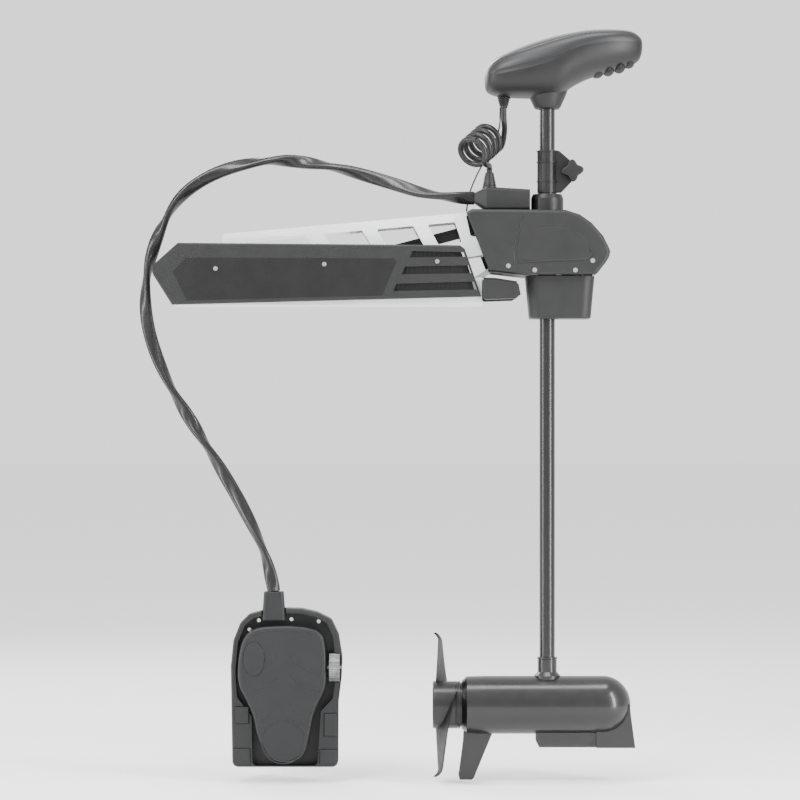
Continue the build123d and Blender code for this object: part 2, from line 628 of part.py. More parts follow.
with BuildPart() as motor_stem:
    add_turned([(shaft_x, -674), (shaft_x + 19.5, -674), (shaft_x + 19.5, -677), (shaft_x + 18.4, -678),
                (shaft_x + 18.4, -702), (shaft_x + 25, -709), (shaft_x + 25, -726), (shaft_x, -726)],
               Axis((shaft_x, 0, 0), (0, 0, 1)))
    add_motor_turned([(can_left, 0), (can_left, motor_radius), (can_right, motor_radius), (can_right, 0)],
                     Mode.SUBTRACT)
    add_post(shaft_x, 0, shaft_radius, shaft_bottom, -670, Mode.SUBTRACT)
    add_post(shaft_x, 0, 10, -730, -690, Mode.SUBTRACT)
motor_stem.part.label = "motor_stem"
export_step(motor_stem.part, "parts/motor_stem.step")

with BuildPart() as motor_tail_cap:
    add_motor_turned([(252.7, 12), (252.7, 46), (258, 50.5), (262, 54.6), (300, motor_radius), (can_left, motor_radius),
                      (can_left, 50), (270, 48), (270, 20), (273, 20), (273, 12)])
    add_plate([(256, -815), (255, -836), (246.5, -900), (249, -909.3), (272, -909.3), (276, -906), (309, -826),
               (314, -815)], -4, 4)
    add_motor_turned([(253, 0), (253, 44), (270, 48), (can_left, 50), (can_left + 1, 50), (can_left + 1, 0)],
                     Mode.SUBTRACT)
    add_motor_turned([(252.7, 13), (252.7, 46), (258, 48), (270, 49), (270, 13)])
motor_tail_cap.part.label = "motor_tail_cap"
export_step(motor_tail_cap.part, "parts/motor_tail_cap.step")

nose_length = 53.0
skirt_bottom = -846.0
with BuildPart() as motor_nose:
    with BuildSketch(Plane.XZ) as dome:
        with BuildLine():
            Line((can_right, motor_z), (can_right, motor_z + motor_radius))
            EllipticalCenterArc((can_right, motor_z), nose_length, motor_radius, start_angle=0, arc_size=90)
            Line((can_right + nose_length, motor_z), (can_right, motor_z))
        make_face()
    revolve(dome.sketch, axis=motor_axis)
    add_plate([(510, -800), (510, skirt_bottom), (584.6, skirt_bottom), (583, -835), (576, -783), (574, -762),
               (550, -762), (524, -790)], -25, 25)
    add_motor_turned([(500, 0), (500, motor_radius), (can_right, motor_radius), (can_right, 0)], Mode.SUBTRACT)
    add_motor_turned([(523, 0), (523, 13), (534, 13), (534, 0)], Mode.SUBTRACT)
    add_box((530, 575), (-19, 19), (skirt_bottom - 1, skirt_bottom + 20), Mode.SUBTRACT)
motor_nose.part.label = "motor_nose"
export_step(motor_nose.part, "parts/motor_nose.step")

with BuildPart() as transducer_cover:
    add_plate([(394, -808), (394, -832), (401, skirt_bottom), (509.6, skirt_bottom), (509.6, -808)], -19, 19)
    chamfer(transducer_cover.edges().filter_by(Axis.X).sort_by(Axis.Z)[:2], length=5)
    add_motor_turned([(380, 0), (380, motor_radius), (520, motor_radius), (520, 0)], Mode.SUBTRACT)
    add_cross_pin((500, -838), 4.6, -20, -16, Mode.SUBTRACT)
    add_cross_pin((500, -838), 3.4, -18.5, -14)
transducer_cover.part.label = "transducer_cover"
export_step(transducer_cover.part, "parts/transducer_cover.step")

magnet_inner, magnet_outer = 44.0, motor_radius - can_wall
with BuildPart() as motor_magnets:
    add_motor_turned([(336, magnet_inner), (336, magnet_outer), (456, magnet_outer), (456, magnet_inner)])
    for z in (motor_z + motor_radius, motor_z - motor_radius):
        add_box((330, 460), (-16, 16), (z - 30, z + 30), Mode.SUBTRACT)
motor_magnets.part.label = "motor_magnets"
export_step(motor_magnets.part, "parts/motor_magnets.step")

with BuildPart() as motor_bearings:
    add_motor_turned([(258, drive_radius + 0.05), (258, 13), (268, 13), (268, drive_radius + 0.05)])
    add_motor_turned([(can_right, drive_radius + 0.05), (can_right, 13), (534, 13), (534, drive_radius + 0.05)])
motor_bearings.part.label = "motor_bearings"
export_step(motor_bearings.part, "parts/motor_bearings.step")

with BuildPart() as armature:
    add_motor_turned([(203, 0), (203, drive_radius), (345, drive_radius), (345, 36), (352, 41), (440, 41), (447, 36),
                      (447, 12), (462, 12), (462, 16), (488, 16), (488, drive_radius), (533, drive_radius),
                      (533, 0)])
armature.part.label = "armature"
export_step(armature.part, "parts/armature.step")

# ---- propeller ----
blade_pitch = math.radians(15)
blade_x, blade_thickness = 211.5, 5.0
blade_plane = Plane(origin=(blade_x, 0, motor_z), x_dir=(math.sin(blade_pitch), math.cos(blade_pitch), 0),
                    z_dir=(math.cos(blade_pitch), -math.sin(blade_pitch), 0))
blade_outline = [
    (-25.0, 36.0), (-39.0, 72.0), (-41.0, 100.0), (-29.0, 127.0), (-6.0, prop_tip), (12.0, 136.0), (31.0, 118.0),
    (39.0, 95.0), (37.0, 70.0), (25.0, 36.0),
]
hub_profile = [
    (211, 0), (211, 14), (197, 14), (197, 42), (199, 45.3), (238, 45.3), (240, 43.5), (250, 43.5), (250, 38),
    (232, 36), (232, 12), (246, 12), (246, 0),
]
with BuildPart() as propeller:
    add_motor_turned(hub_profile)
    with BuildSketch(blade_plane.offset(-blade_thickness / 2)) as blade:
        with BuildLine():
            Polyline(*blade_outline, close=True)
        make_face()
    one_blade = extrude(blade.sketch, amount=blade_thickness)
    add(one_blade.rotate(motor_axis, 180))
    add_motor_turned([(190, 0), (190, drive_radius), (260, drive_radius), (260, 0)], Mode.SUBTRACT)
propeller.part.label = "propeller"
export_step(propeller.part, "parts/propeller.step")

with BuildPart() as prop_nut:
    with BuildSketch(Plane.YZ.offset(200)):
        with Locations((0, motor_z)):
            RegularPolygon(11, 6)
            Circle(drive_radius, mode=Mode.SUBTRACT)
    extrude(amount=9)
    add_motor_turned([(209, drive_radius), (209, 13), (211, 13), (211, drive_radius)])
    fillet(prop_nut.faces().sort_by(Axis.X)[0].outer_wire().edges(), radius=1)
prop_nut.part.label = "prop_nut"
export_step(prop_nut.part, "parts/prop_nut.step")

# ---- foot pedal, hanging by its cable with its pad to -Y ----
base_front, well_floor, base_back = -14.0, 12.0, 25.0


def add_rounded_plate(points, corner, y_low, y_high, mode=Mode.ADD):
    """An outline of (x, z) points with rounded corners carried across Y."""
    with BuildSketch(Plane.XZ.offset(-y_low)) as outline:
        with BuildLine():
            Polyline(*points, close=True)
        make_face()
        fillet(outline.vertices(), radius=corner)
    extrude(outline.sketch, amount=y_low - y_high, mode=mode)


pedal_outline = [
    (-187.0, pedal_low), (-190.0, -690.0), (-185.0, -641.0), (-172.0, -608.0), (-154.0, -590.5), (-122.0, -582.5),
    (-83.0, pedal_high), (-54.0, -580.5), (-24.0, -587.5), (3.0, -601.0), (17.0, -630.0), (24.0, -674.0),
    (22.5, -712.0), (16.5, -760.0), (16.0, pedal_low),
]
well_outline = [
    (-181.0, -700.0), (-176.0, -645.0), (-163.0, -612.0), (-147.0, -598.5), (-118.0, -591.5), (-83.0, -589.0),
    (-54.0, -589.5), (-27.0, -596.0), (-6.0, -607.5), (6.0, -634.0), (13.0, -700.0), (6.0, -752.0),
    (-17.0, -776.0), (-24.0, -881.0), (-148.0, -881.0), (-150.0, -786.0), (-178.0, -750.0),
]
pad_outline = [
    (-176.5, -700.0), (-171.0, -650.0), (-158.0, -625.0), (-138.0, -615.0), (-83.0, -612.0), (-40.0, -615.5),
    (-19.0, -622.5), (-8.0, -640.0), (-5.0, -724.0), (-17.0, -750.0), (-30.5, -778.0), (-37.0, -812.0),
    (-45.0, -852.0), (-58.0, -867.0), (-83.0, -874.5), (-109.0, -868.0), (-124.0, -855.0), (-139.0, -822.0),
    (-145.0, -786.0), (-160.0, -752.0), (-172.5, -730.0),
]
pad_front, pad_back = -33.0, -12.0
momentary_centre = (-144.4, -675.3)
wheel_x, wheel_y, wheel_z, wheel_radius = 9.0, -12.0, -693.0, 25.0
button_sites = {
    "side_rocker": ((-181.0, -155.0), (-800.0, -768.0)),
    "mode_button": ((-185.0, -153.0), (-878.0, -848.0)),
    "function_button": ((-19.0, 13.0), (-878.0, -850.0)),
    "pad_button": ((-11.0, 13.0), (-824.0, -781.0)),
}
button_gap, button_proud, button_depth = 0.5, 3.5, 9.0

with BuildPart() as pedal_base:
    add_rounded_plate(pedal_outline, 12, base_front, base_back)
    chamfer(pedal_base.faces().sort_by(Axis.Y)[0].outer_wire().edges(), length=3)
    add_rounded_plate(well_outline, 8, base_front, well_floor, Mode.SUBTRACT)
    add_box((-131, -84), (base_front - 1, well_floor), (-600, -570), Mode.SUBTRACT)
    for x_span in ((-114, -104), (-62, -52)):
        add_box(x_span, (0, well_floor), (pedal_axle_z - 8, pedal_axle_z + 8))
        with Locations(Location((sum(x_span) / 2, 0, pedal_axle_z), (0, 90, 0))):
            Cylinder(8, 10)
    with Locations(Location((pedal_x, 0, pedal_axle_z), (0, 90, 0))):
        Cylinder(4.05, 64, mode=Mode.SUBTRACT)
    with Locations(Location((wheel_x, wheel_y, wheel_z), (0, 90, 0))):
        Cylinder(wheel_radius + 3, 23, mode=Mode.SUBTRACT)
        Cylinder(3.05, 30, mode=Mode.SUBTRACT)
    for x_span, z_span in button_sites.values():
        wide = [(low - button_gap, high + button_gap) for low, high in (x_span, z_span)]
        add_box(wide[0], (base_front - 1, base_front + button_depth + 2), wide[1], Mode.SUBTRACT)
pedal_base.part.label = "pedal_base"
export_step(pedal_base.part, "parts/pedal_base.step")

pedal_gland_x, pedal_gland_y, pedal_gland_top = -107.5, -3.0, -547.6
with BuildPart() as pedal_gland:
    with BuildSketch(Plane.XY.offset(-602)) as foot:
        with Locations((pedal_gland_x, pedal_gland_y)):
            RectangleRounded(45, 29, 6)
    with BuildSketch(Plane.XY.offset(pedal_gland_top)) as mouth:
        with Locations((pedal_gland_x, pedal_gland_y)):
            RectangleRounded(38, 26, 6)
    loft([foot.sketch, mouth.sketch])
    fillet(pedal_gland.faces().sort_by(Axis.Z)[-1].edges(), radius=2)
pedal_gland.part.label = "pedal_gland"
export_step(pedal_gland.part, "parts/pedal_gland.step")

with BuildPart() as pedal_screws:
    for place in ((-137, -604), (-74.3, -602), (-155, -622), (-21.9, -606)):
        add_cross_pin(place, 3.6, well_floor - 3, well_floor)
        add_cross_pin(place, 1.5, well_floor - 3, well_floor - 1.5, Mode.SUBTRACT)
pedal_screws.part.label = "pedal_screws"
export_step(pedal_screws.part, "parts/pedal_screws.step")

with BuildPart() as footpad:
    add_rounded_plate(pad_outline, 10, pad_front, pad_back)
    fillet(footpad.faces().sort_by(Axis.Y)[0].outer_wire().edges(), radius=4)
    add_box((-100, -66), (pad_back, 2), (pedal_axle_z - 7, pedal_axle_z + 7))
    with Locations(Location((pedal_x, 0, pedal_axle_z), (0, 90, 0))):
        Cylinder(8, 34)
        Cylinder(4, 62)
    with BuildSketch(Plane.XZ.offset(-pad_front)) as well:
        with Locations(momentary_centre):
            Ellipse(20.2, 32.9)
    extrude(well.sketch, amount=-12, mode=Mode.SUBTRACT)
footpad.part.label = "footpad"
export_step(footpad.part, "parts/footpad.step")

with BuildPart() as momentary_button:
    with BuildSketch(Plane.XZ.offset(3 - pad_front)) as oval_cap:
        with Locations(momentary_centre):
            Ellipse(19.6, 32.3)
    extrude(oval_cap.sketch, amount=-10)
    fillet(momentary_button.faces().sort_by(Axis.Y)[0].edges(), radius=1.5)
momentary_button.part.label = "momentary_button"
export_step(momentary_button.part, "parts/momentary_button.step")

with BuildPart() as speed_wheel:
    with Locations(Location((wheel_x, wheel_y, wheel_z), (0, 90, 0))):
        Cylinder(wheel_radius, 20)
        with PolarLocations(wheel_radius, 24):
            Cylinder(1.6, 20)
        Cylinder(3, 28)
speed_wheel.part.label = "speed_wheel"
export_step(speed_wheel.part, "parts/speed_wheel.step")

for button_name, (x_span, z_span) in button_sites.items():
    with BuildPart() as button:
        add_box(x_span, (base_front - button_proud, base_front + button_depth - button_proud), z_span)
        fillet(button.faces().sort_by(Axis.Y)[0].edges(), radius=1.5)
    button.part.label = button_name
    export_step(button.part, f"parts/{button_name}.step")


# ---- cords: straight runs joined by the widest arcs that they allow ----
def corner_radii(points):
    """0.45 of the shorter run over the tangent of half the turn, for each corner of a route."""
    runs = [Vector(*end) - Vector(*start) for start, end in zip(points, points[1:])]
    radii = []
    for before, after in zip(runs, runs[1:]):
        half_turn = math.radians(before.get_angle(after)) / 2
        radii.append(0.45 * min(before.length, after.length) / math.tan(half_turn))
    return radii


def add_cord(points, radii, diameter, name):
    """A round tube along a route, with its corner radii and its length printed."""
    with BuildLine() as route:
        FilletPolyline(*points, radius=radii)
    path = route.wires()[0]
    start = Vector(*points[1]) - Vector(*points[0])
    with BuildSketch(Plane(origin=points[0], z_dir=start)) as section:
        Circle(diameter / 2)
    tube = sweep(section.sketch, path=path)
    ratio = tube.volume / (math.pi * diameter ** 2 / 4 * path.length)
    print(name, "length", round(path.length), "volume ratio", round(ratio, 3), "radii", [round(r) for r in radii])


def midway(start, end):
    return tuple((a + b) / 2 for a, b in zip(start, end))


pedal_cable_diameter = 20.0
pedal_cable_route = [
    (277.0, 0.0, 207.0), (206.0, 0.0, 207.0), (104.0, 38.0, 243.0), (0.0, 80.0, 275.0), (-110.0, 104.0, 291.0),
    (-215.0, 112.0, 272.0), (-297.0, 110.0, 222.0), (-343.0, 114.0, 140.0), (-366.0, 108.0, 42.0),
    (-358.0, 100.0, -50.0), (-318.0, 92.0, -150.0), (-256.0, 76.0, -246.0), (-195.0, 58.0, -343.0),
    (-149.0, 27.0, -424.0), (-118.0, 5.0, -492.0), (-107.5, -3.0, -547.6),
]
cable_joint = midway(pedal_cable_route[5], pedal_cable_route[6])
cable_radii = corner_radii(pedal_cable_route)

with BuildPart() as pedal_cable_upper:
    add_cord(pedal_cable_route[:6] + [cable_joint], cable_radii[:5], pedal_cable_diameter, "pedal_cable_upper")
pedal_cable_upper.part.label = "pedal_cable_upper"
export_step(pedal_cable_upper.part, "parts/pedal_cable_upper.step")

with BuildPart() as pedal_cable_lower:
    add_cord([cable_joint] + pedal_cable_route[6:], cable_radii[5:], pedal_cable_diameter, "pedal_cable_lower")
pedal_cable_lower.part.label = "pedal_cable_lower"
export_step(pedal_cable_lower.part, "parts/pedal_cable_lower.step")

coil_cord_diameter = 11.0
coil_centre = (289.0, 0.0, 307.0)
coil_direction = (0.426, 0.798, 0.426)
coil_radius, coil_length = 29.0, 99.0
with BuildPart() as coil_cord_coil:
    with BuildSketch(Plane(origin=coil_centre, z_dir=coil_direction).offset(-(coil_length + coil_cord_diameter) / 2)):
        Circle(coil_radius + coil_cord_diameter / 2)
    extrude(amount=coil_length + coil_cord_diameter)
coil_cord_coil.part.label = "coil_cord_coil"
export_step(coil_cord_coil.part, "parts/coil_cord_coil.step")

coil_upper_route = [
    (head_gland_x, 0.0, head_gland_low), (head_gland_x, 0.0, 362.0), (336.2, 20.0, 338.0), (336.8, 27.5, 321.0),
]
with BuildPart() as coil_cord_upper:
    add_cord(coil_upper_route, corner_radii(coil_upper_route), coil_cord_diameter, "coil_cord_upper")
coil_cord_upper.part.label = "coil_cord_upper"
export_step(coil_cord_upper.part, "parts/coil_cord_upper.step")

coil_lower_route = [(junction_x, 0.0, 256.0), (junction_x, 0.0, 269.0), (303.5, -18.0, 283.0)]
with BuildPart() as coil_cord_lower:
    add_cord(coil_lower_route, corner_radii(coil_lower_route), coil_cord_diameter, "coil_cord_lower")
coil_cord_lower.part.label = "coil_cord_lower"
export_step(coil_cord_lower.part, "parts/coil_cord_lower.step")

thin_cable_diameter = 2.5
thin_cable_route = [
    (327.0, 5.0, head_gland_low), (327.0, 5.0, 364.0), (328.0, 42.0, 354.0), (322.0, 70.0, 325.0), (306.0, 78.0, 297.0),
    (290.0, 76.0, 270.0), (276.0, 62.0, 240.0), (266.0, 48.0, 212.0), (263.0, 42.0, 184.0),
]
with BuildPart() as thin_cable:
    add_cord(thin_cable_route, corner_radii(thin_cable_route), thin_cable_diameter, "thin_cable")
thin_cable.part.label = "thin_cable"
export_step(thin_cable.part, "parts/thin_cable.step")
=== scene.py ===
# Bow-mount trolling motor: deck mount, folding arm, steering housing, head, lower unit and foot pedal
import math
import bmesh
import bpy
import numpy as np
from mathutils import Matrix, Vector


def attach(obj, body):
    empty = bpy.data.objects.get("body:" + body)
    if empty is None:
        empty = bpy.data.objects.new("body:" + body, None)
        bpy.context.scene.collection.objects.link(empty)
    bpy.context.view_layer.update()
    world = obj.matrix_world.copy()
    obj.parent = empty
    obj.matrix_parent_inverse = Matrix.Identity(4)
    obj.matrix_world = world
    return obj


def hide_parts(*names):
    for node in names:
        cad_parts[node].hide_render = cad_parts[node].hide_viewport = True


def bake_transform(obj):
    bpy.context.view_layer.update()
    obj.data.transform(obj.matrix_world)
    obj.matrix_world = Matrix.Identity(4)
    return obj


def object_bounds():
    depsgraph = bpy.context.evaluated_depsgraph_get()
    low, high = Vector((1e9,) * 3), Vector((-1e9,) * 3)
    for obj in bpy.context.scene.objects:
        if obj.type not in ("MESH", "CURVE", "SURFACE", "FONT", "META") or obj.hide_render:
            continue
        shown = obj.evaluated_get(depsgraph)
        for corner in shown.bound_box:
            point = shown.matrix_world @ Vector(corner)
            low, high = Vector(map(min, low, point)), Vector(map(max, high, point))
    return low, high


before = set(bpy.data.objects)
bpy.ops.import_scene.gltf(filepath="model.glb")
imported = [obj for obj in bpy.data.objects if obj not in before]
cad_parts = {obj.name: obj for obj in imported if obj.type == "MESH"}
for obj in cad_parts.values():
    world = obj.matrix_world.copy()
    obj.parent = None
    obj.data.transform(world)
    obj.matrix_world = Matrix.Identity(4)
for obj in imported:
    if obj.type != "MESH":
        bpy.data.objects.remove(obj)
cadLow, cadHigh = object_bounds()
print("frame loaded")

view = {"centre": (0.1344, 0.0, -0.1805), "distance": 6.0, "width": 1.536, "sensor": 36.0}
cameraData = bpy.data.cameras.new("camera")
cameraData.sensor_width = view["sensor"]
cameraData.lens = view["sensor"] * view["distance"] / view["width"]
camera = bpy.data.objects.new("camera", cameraData)
camera.location = Vector(view["centre"]) - Vector((0, view["distance"], 0))
camera.rotation_euler = (math.pi / 2, 0, 0)
bpy.context.collection.objects.link(camera)
bpy.context.scene.camera = camera


def gridFaces(rows, columns, closeRows, closeColumns):
    # quads between neighbours of a rows x columns grid, wrapped where it closes
    i = np.arange(rows if closeRows else rows - 1)[:, None]
    j = np.arange(columns if closeColumns else columns - 1)[None, :]
    nextI, nextJ = (i + 1) % rows, (j + 1) % columns
    corners = [i * columns + j, i * columns + nextJ, nextI * columns + nextJ, nextI * columns + j]
    return np.stack([np.broadcast_to(c, (i.shape[0], j.shape[1])) for c in corners], -1).reshape(-1, 4)


def capFaces(ring, centre):
    # triangles from a closed ring of vertex numbers to one centre vertex
    return np.stack([ring, np.roll(ring, -1), np.full(len(ring), centre)], -1)


class Shape:
    # vertices and blocks of faces gathered from several surfaces before they become one mesh
    def __init__(self):
        self.points, self.faces, self.count = [], [], 0

    def add(self, points, faces):
        flat = np.asarray(points, float).reshape(-1, 3)
        self.points.append(flat)
        for block in faces:
            self.faces += (block + self.count).tolist()
        self.count += len(flat)
        return self

    def grid(self, points, closeRows=False, closeColumns=False, caps=False):
        # points is (rows, columns, 3); caps closes the first and last row with a fan
        rows, columns = points.shape[:2]
        faces = [gridFaces(rows, columns, closeRows, closeColumns)]
        flat = points.reshape(-1, 3)
        if caps:
            middles = np.stack([points[0].mean(0), points[-1].mean(0)])
            first, last = np.arange(columns), np.arange(columns) + (rows - 1) * columns
            faces += [capFaces(first[::-1], len(flat)), capFaces(last, len(flat) + 1)]
            flat = np.concatenate([flat, middles])
        return self.add(flat, faces)

    def piece(self, name, material, smooth=True, angle=35.0):
        mesh = bpy.data.meshes.new(name)
        mesh.from_pydata(np.concatenate(self.points).tolist(), [], self.faces)
        work = bmesh.new()
        work.from_mesh(mesh)
        bmesh.ops.remove_doubles(work, verts=work.verts, dist=1e-6)
        bmesh.ops.recalc_face_normals(work, faces=work.faces)
        work.to_mesh(mesh)
        work.free()
        mesh.polygons.foreach_set("use_smooth", np.full(len(mesh.polygons), smooth))
        if smooth:
            mesh.set_sharp_from_angle(angle=math.radians(angle))
        made = bpy.data.objects.new(name, mesh)
        made.data.materials.append(material)
        bpy.context.collection.objects.link(made)
        return made


def faceCentres(made):
    centres = np.zeros(len(made.data.polygons) * 3)
    made.data.polygons.foreach_get("center", centres)
    return centres.reshape(-1, 3)


def splinePoints(name, route):
    # the route's own NURBS line, read back as points
    curve = bpy.data.curves.new(name, "CURVE")
    curve.dimensions = "3D"
    curve.resolution_u = 14
    spline = curve.splines.new("NURBS")
    spline.points.add(len(route) - 1)
    spline.points.foreach_set("co", np.c_[np.array(route, float), np.ones(len(route))].ravel())
    spline.order_u = 3
    spline.use_endpoint_u = True
    holder = bpy.data.objects.new(name, curve)
    bpy.context.collection.objects.link(holder)
    bpy.context.view_layer.update()
    line = bpy.data.meshes.new_from_object(holder)
    points = np.zeros(len(line.vertices) * 3)
    line.vertices.foreach_get("co", points)
    bpy.data.objects.remove(holder)
    bpy.data.meshes.remove(line)
    bpy.data.curves.remove(curve)
    points = points.reshape(-1, 3)
    return points[np.r_[True, np.linalg.norm(np.diff(points, axis=0), axis=1) > 1e-5]]


def along(points):
    # distance run at each point of a line
    return np.r_[0.0, np.cumsum(np.linalg.norm(np.diff(points, axis=0), axis=1))]


def evenly(points, step):
    # the same line cut into equal steps
    run = along(points)
    wanted = np.linspace(0, run[-1], max(2, int(round(run[-1] / step)) + 1))
    return np.stack([np.interp(wanted, run, points[:, k]) for k in range(3)], -1)


def sweep(points, halfWide, halfThick, reference, sides=20, power=2.0, turn=None):
    # a rounded section carried along a line: side is tangent x reference, turned by turn(distance)
    tangent = np.gradient(points, axis=0)
    tangent /= np.linalg.norm(tangent, axis=1)[:, None]
    side = np.cross(tangent, np.array(reference, float))
    side /= np.linalg.norm(side, axis=1)[:, None]
    up = np.cross(side, tangent)
    angle = np.linspace(0, 2 * math.pi, sides, endpoint=False)
    across = np.sign(np.cos(angle)) * np.abs(np.cos(angle)) ** (2 / power)
    over = np.sign(np.sin(angle)) * np.abs(np.sin(angle)) ** (2 / power)
    twist = np.zeros(len(points)) if turn is None else turn(along(points))
    wide = np.broadcast_to(halfWide, len(points))[:, None]
    thick = np.broadcast_to(halfThick, len(points))[:, None]
    u, v = wide * across[None, :], thick * over[None, :]
    c, s = np.cos(twist)[:, None], np.sin(twist)[:, None]
    x, y = (u * c - v * s)[..., None], (u * s + v * c)[..., None]
    return points[:, None, :] + x * side[:, None, :] + y * up[:, None, :]


def finish(name, colour, shade, rough, metallic=0.0, grain=0.15, grainSize=900.0, cloud=9.0, roughSpread=0.06,
           stretch=(1, 1, 1), coat=0.0, specular=0.36, pits=0.0):
    # two tones clouded together, roughness that wanders, and a fine grain in the bump
    material = bpy.data.materials.new(name)
    material.use_nodes = True
    tree = material.node_tree
    shader = tree.nodes["Principled BSDF"]
    shader.inputs["Metallic"].default_value = metallic
    shader.inputs["Coat Weight"].default_value = coat
    shader.inputs["Coat Roughness"].default_value = 0.12
    shader.inputs["Specular IOR Level"].default_value = specular

    def node(kind, **values):
        made = tree.nodes.new(kind)
        for key, value in values.items():
            if key in made.inputs:
                made.inputs[key].default_value = value
            else:
                setattr(made, key, value)
        return made

    def link(a, b, out=0, into=0):
        tree.links.new(a.outputs[out], b.inputs[into])

    place = node("ShaderNodeTexCoord")
    mapping = node("ShaderNodeMapping")
    mapping.inputs["Scale"].default_value = stretch
    link(place, mapping, "Object")
    clouds = node("ShaderNodeTexNoise", Scale=cloud, Detail=5.0, Roughness=0.6)
    link(mapping, clouds, 0, "Vector")
    tones = node("ShaderNodeValToRGB")
    tones.color_ramp.elements[0].position, tones.color_ramp.elements[1].position = 0.3, 0.72
    tones.color_ramp.elements[0].color = (*shade, 1)
    tones.color_ramp.elements[1].color = (*colour, 1)
    link(clouds, tones, 0, 0)
    fine = node("ShaderNodeTexNoise", Scale=grainSize, Detail=3.0, Roughness=0.55)
    link(mapping, fine, 0, "Vector")
    spread = node("ShaderNodeMapRange")
    for key, value in zip(("From Min", "From Max", "To Min", "To Max"),
                          (0.3, 0.7, max(0.02, rough - roughSpread), rough + roughSpread)):
        spread.inputs[key].default_value = value
    smears = node("ShaderNodeTexNoise", Scale=cloud * 4, Detail=6.0, Roughness=0.7)
    link(mapping, smears, 0, "Vector")
    link(smears, spread, 0, 0)
    bump = node("ShaderNodeBump", Strength=grain, Distance=0.0004)
    link(fine, bump, 0, "Height")
    if pits:
        cells = node("ShaderNodeTexVoronoi", Scale=pits)
        link(mapping, cells, 0, "Vector")
        deeper = node("ShaderNodeBump", Strength=min(1.0, grain * 1.6), Distance=0.0003)
        link(cells, deeper, 0, "Height")
        link(bump, deeper, 0, "Normal")
        bump = deeper
    link(tones, shader, 0, "Base Color")
    link(spread, shader, 0, "Roughness")
    link(bump, shader, 0, "Normal")
    return material


# each row: two tones, roughness, metal, grain strength and size, cloud size, roughness spread, then any stretch
materials = {
    "aluminium": finish("aluminium", (0.72, 0.73, 0.74), (0.60, 0.61, 0.62),
        0.38, 0.35, 0.1, 700, 14, 0.08, (1, 8, 8)),
    "silver_arm": finish("silverArm", (0.80, 0.81, 0.82), (0.70, 0.71, 0.72),
        0.36, 0.25, 0.12, 800, 12, 0.07, (1, 6, 6)),
    "charcoal_plastic": finish("charcoalPlastic", (0.0072, 0.0074, 0.0079), (0.0048, 0.0050, 0.0055),
        0.46, 0, 0.35, 1100, 8, 0.07, pits=1500),
    "gloss_black_plastic": finish("glossBlackPlastic", (0.0024, 0.0024, 0.0027), (0.0012, 0.0012, 0.0015),
        0.16, 0, 0.05, 600, 10, 0.05, coat=0.5),
    "stainless": finish("stainless", (0.62, 0.62, 0.60), (0.42, 0.42, 0.41),
        0.25, 1.0, 0.12, 900, 30, 0.08),
    "black_rubber": finish("blackRubber", (0.0049, 0.0049, 0.0049), (0.0028, 0.0028, 0.0028),
        0.68, 0, 0.4, 1300, 12, 0.08),
    "black_steel": finish("blackSteel", (0.0110, 0.0110, 0.0120), (0.0060, 0.0060, 0.0065),
        0.38, 0.3, 0.2, 900, 14, 0.08),
    "black_nylon": finish("blackNylon", (0.0056, 0.0056, 0.0060), (0.0035, 0.0035, 0.0038),
        0.42, 0, 0.25, 1000, 12, 0.07),
    "black_shaft": finish("blackShaft", (0.0042, 0.0042, 0.0045), (0.0024, 0.0024, 0.0028),
        0.30, 0, 0.12, 700, 10, 0.06, (6, 6, 1), coat=0.25),
    "head_plastic": finish("headPlastic", (0.0053, 0.0053, 0.0058), (0.0033, 0.0033, 0.0038),
        0.46, 0, 0.22, 1000, 7, 0.06),
    "circuit_board": finish("circuitBoard", (0.020, 0.130, 0.060), (0.012, 0.080, 0.040),
        0.40, 0, 0.2, 400, 60, 0.1),
    "motor_paint": finish("motorPaint", (0.0057, 0.0057, 0.0061), (0.0033, 0.0033, 0.0036),
        0.33, 0, 0.14, 800, 9, 0.06, coat=0.3),
    "magnet": finish("magnet", (0.075, 0.072, 0.070), (0.045, 0.044, 0.043), 0.55, 0.3, 0.3, 900, 30, 0.1),
    "copper_winding": finish("copperWinding", (0.60, 0.25, 0.10), (0.42, 0.15, 0.05),
        0.30, 0.9, 0.3, 1500, 40, 0.1),
    "propeller_plastic": finish("propellerPlastic", (0.0096, 0.0083, 0.0077), (0.0045, 0.0038, 0.0038),
        0.34, 0, 0.08, 600, 9, 0.06, coat=0.15),
    "pedal_plastic": finish("pedalPlastic", (0.0075, 0.0078, 0.0084), (0.0047, 0.0050, 0.0056),
        0.42, 0, 0.35, 1100, 8, 0.07, pits=1400),
    "cable_sheath": finish("cableSheath", (0.0038, 0.0038, 0.0041), (0.0022, 0.0022, 0.0025),
        0.34, 0, 0.25, 500, 25, 0.08, coat=0.15),
    "cord_rubber": finish("cordRubber", (0.0072, 0.0072, 0.0077), (0.0045, 0.0045, 0.0049),
        0.40, 0, 0.2, 900, 20, 0.06),
}
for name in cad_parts:
    for slot in bpy.data.objects[name].material_slots:
        slot.material = materials[slot.material.name.split(".")[0]]
print("materials made")

coil = {"centre": (0.289, 0.0, 0.307), "axis": (0.426, 0.798, 0.426), "radius": 0.029, "first": -0.044,
        "last": 0.0483, "turns": 4.073, "leadTurns": 0.2857, "splitTurns": 2.0,
        "start": (0.805, -0.115, -0.585), "diameter": 0.011, "perTurn": 14}
lowerLead = [(0.306, 0, 0.256), (0.306, -0.001, 0.263), (0.3055, -0.008, 0.2695), (0.302, -0.021, 0.2685)]
upperLead = [(0.3362, 0.016, 0.340), (0.3345, 0.004, 0.352), (0.3337, 0, 0.362), (0.3337, 0, 0.381)]


def unit(vector):
    return np.array(vector, float) / np.linalg.norm(vector)


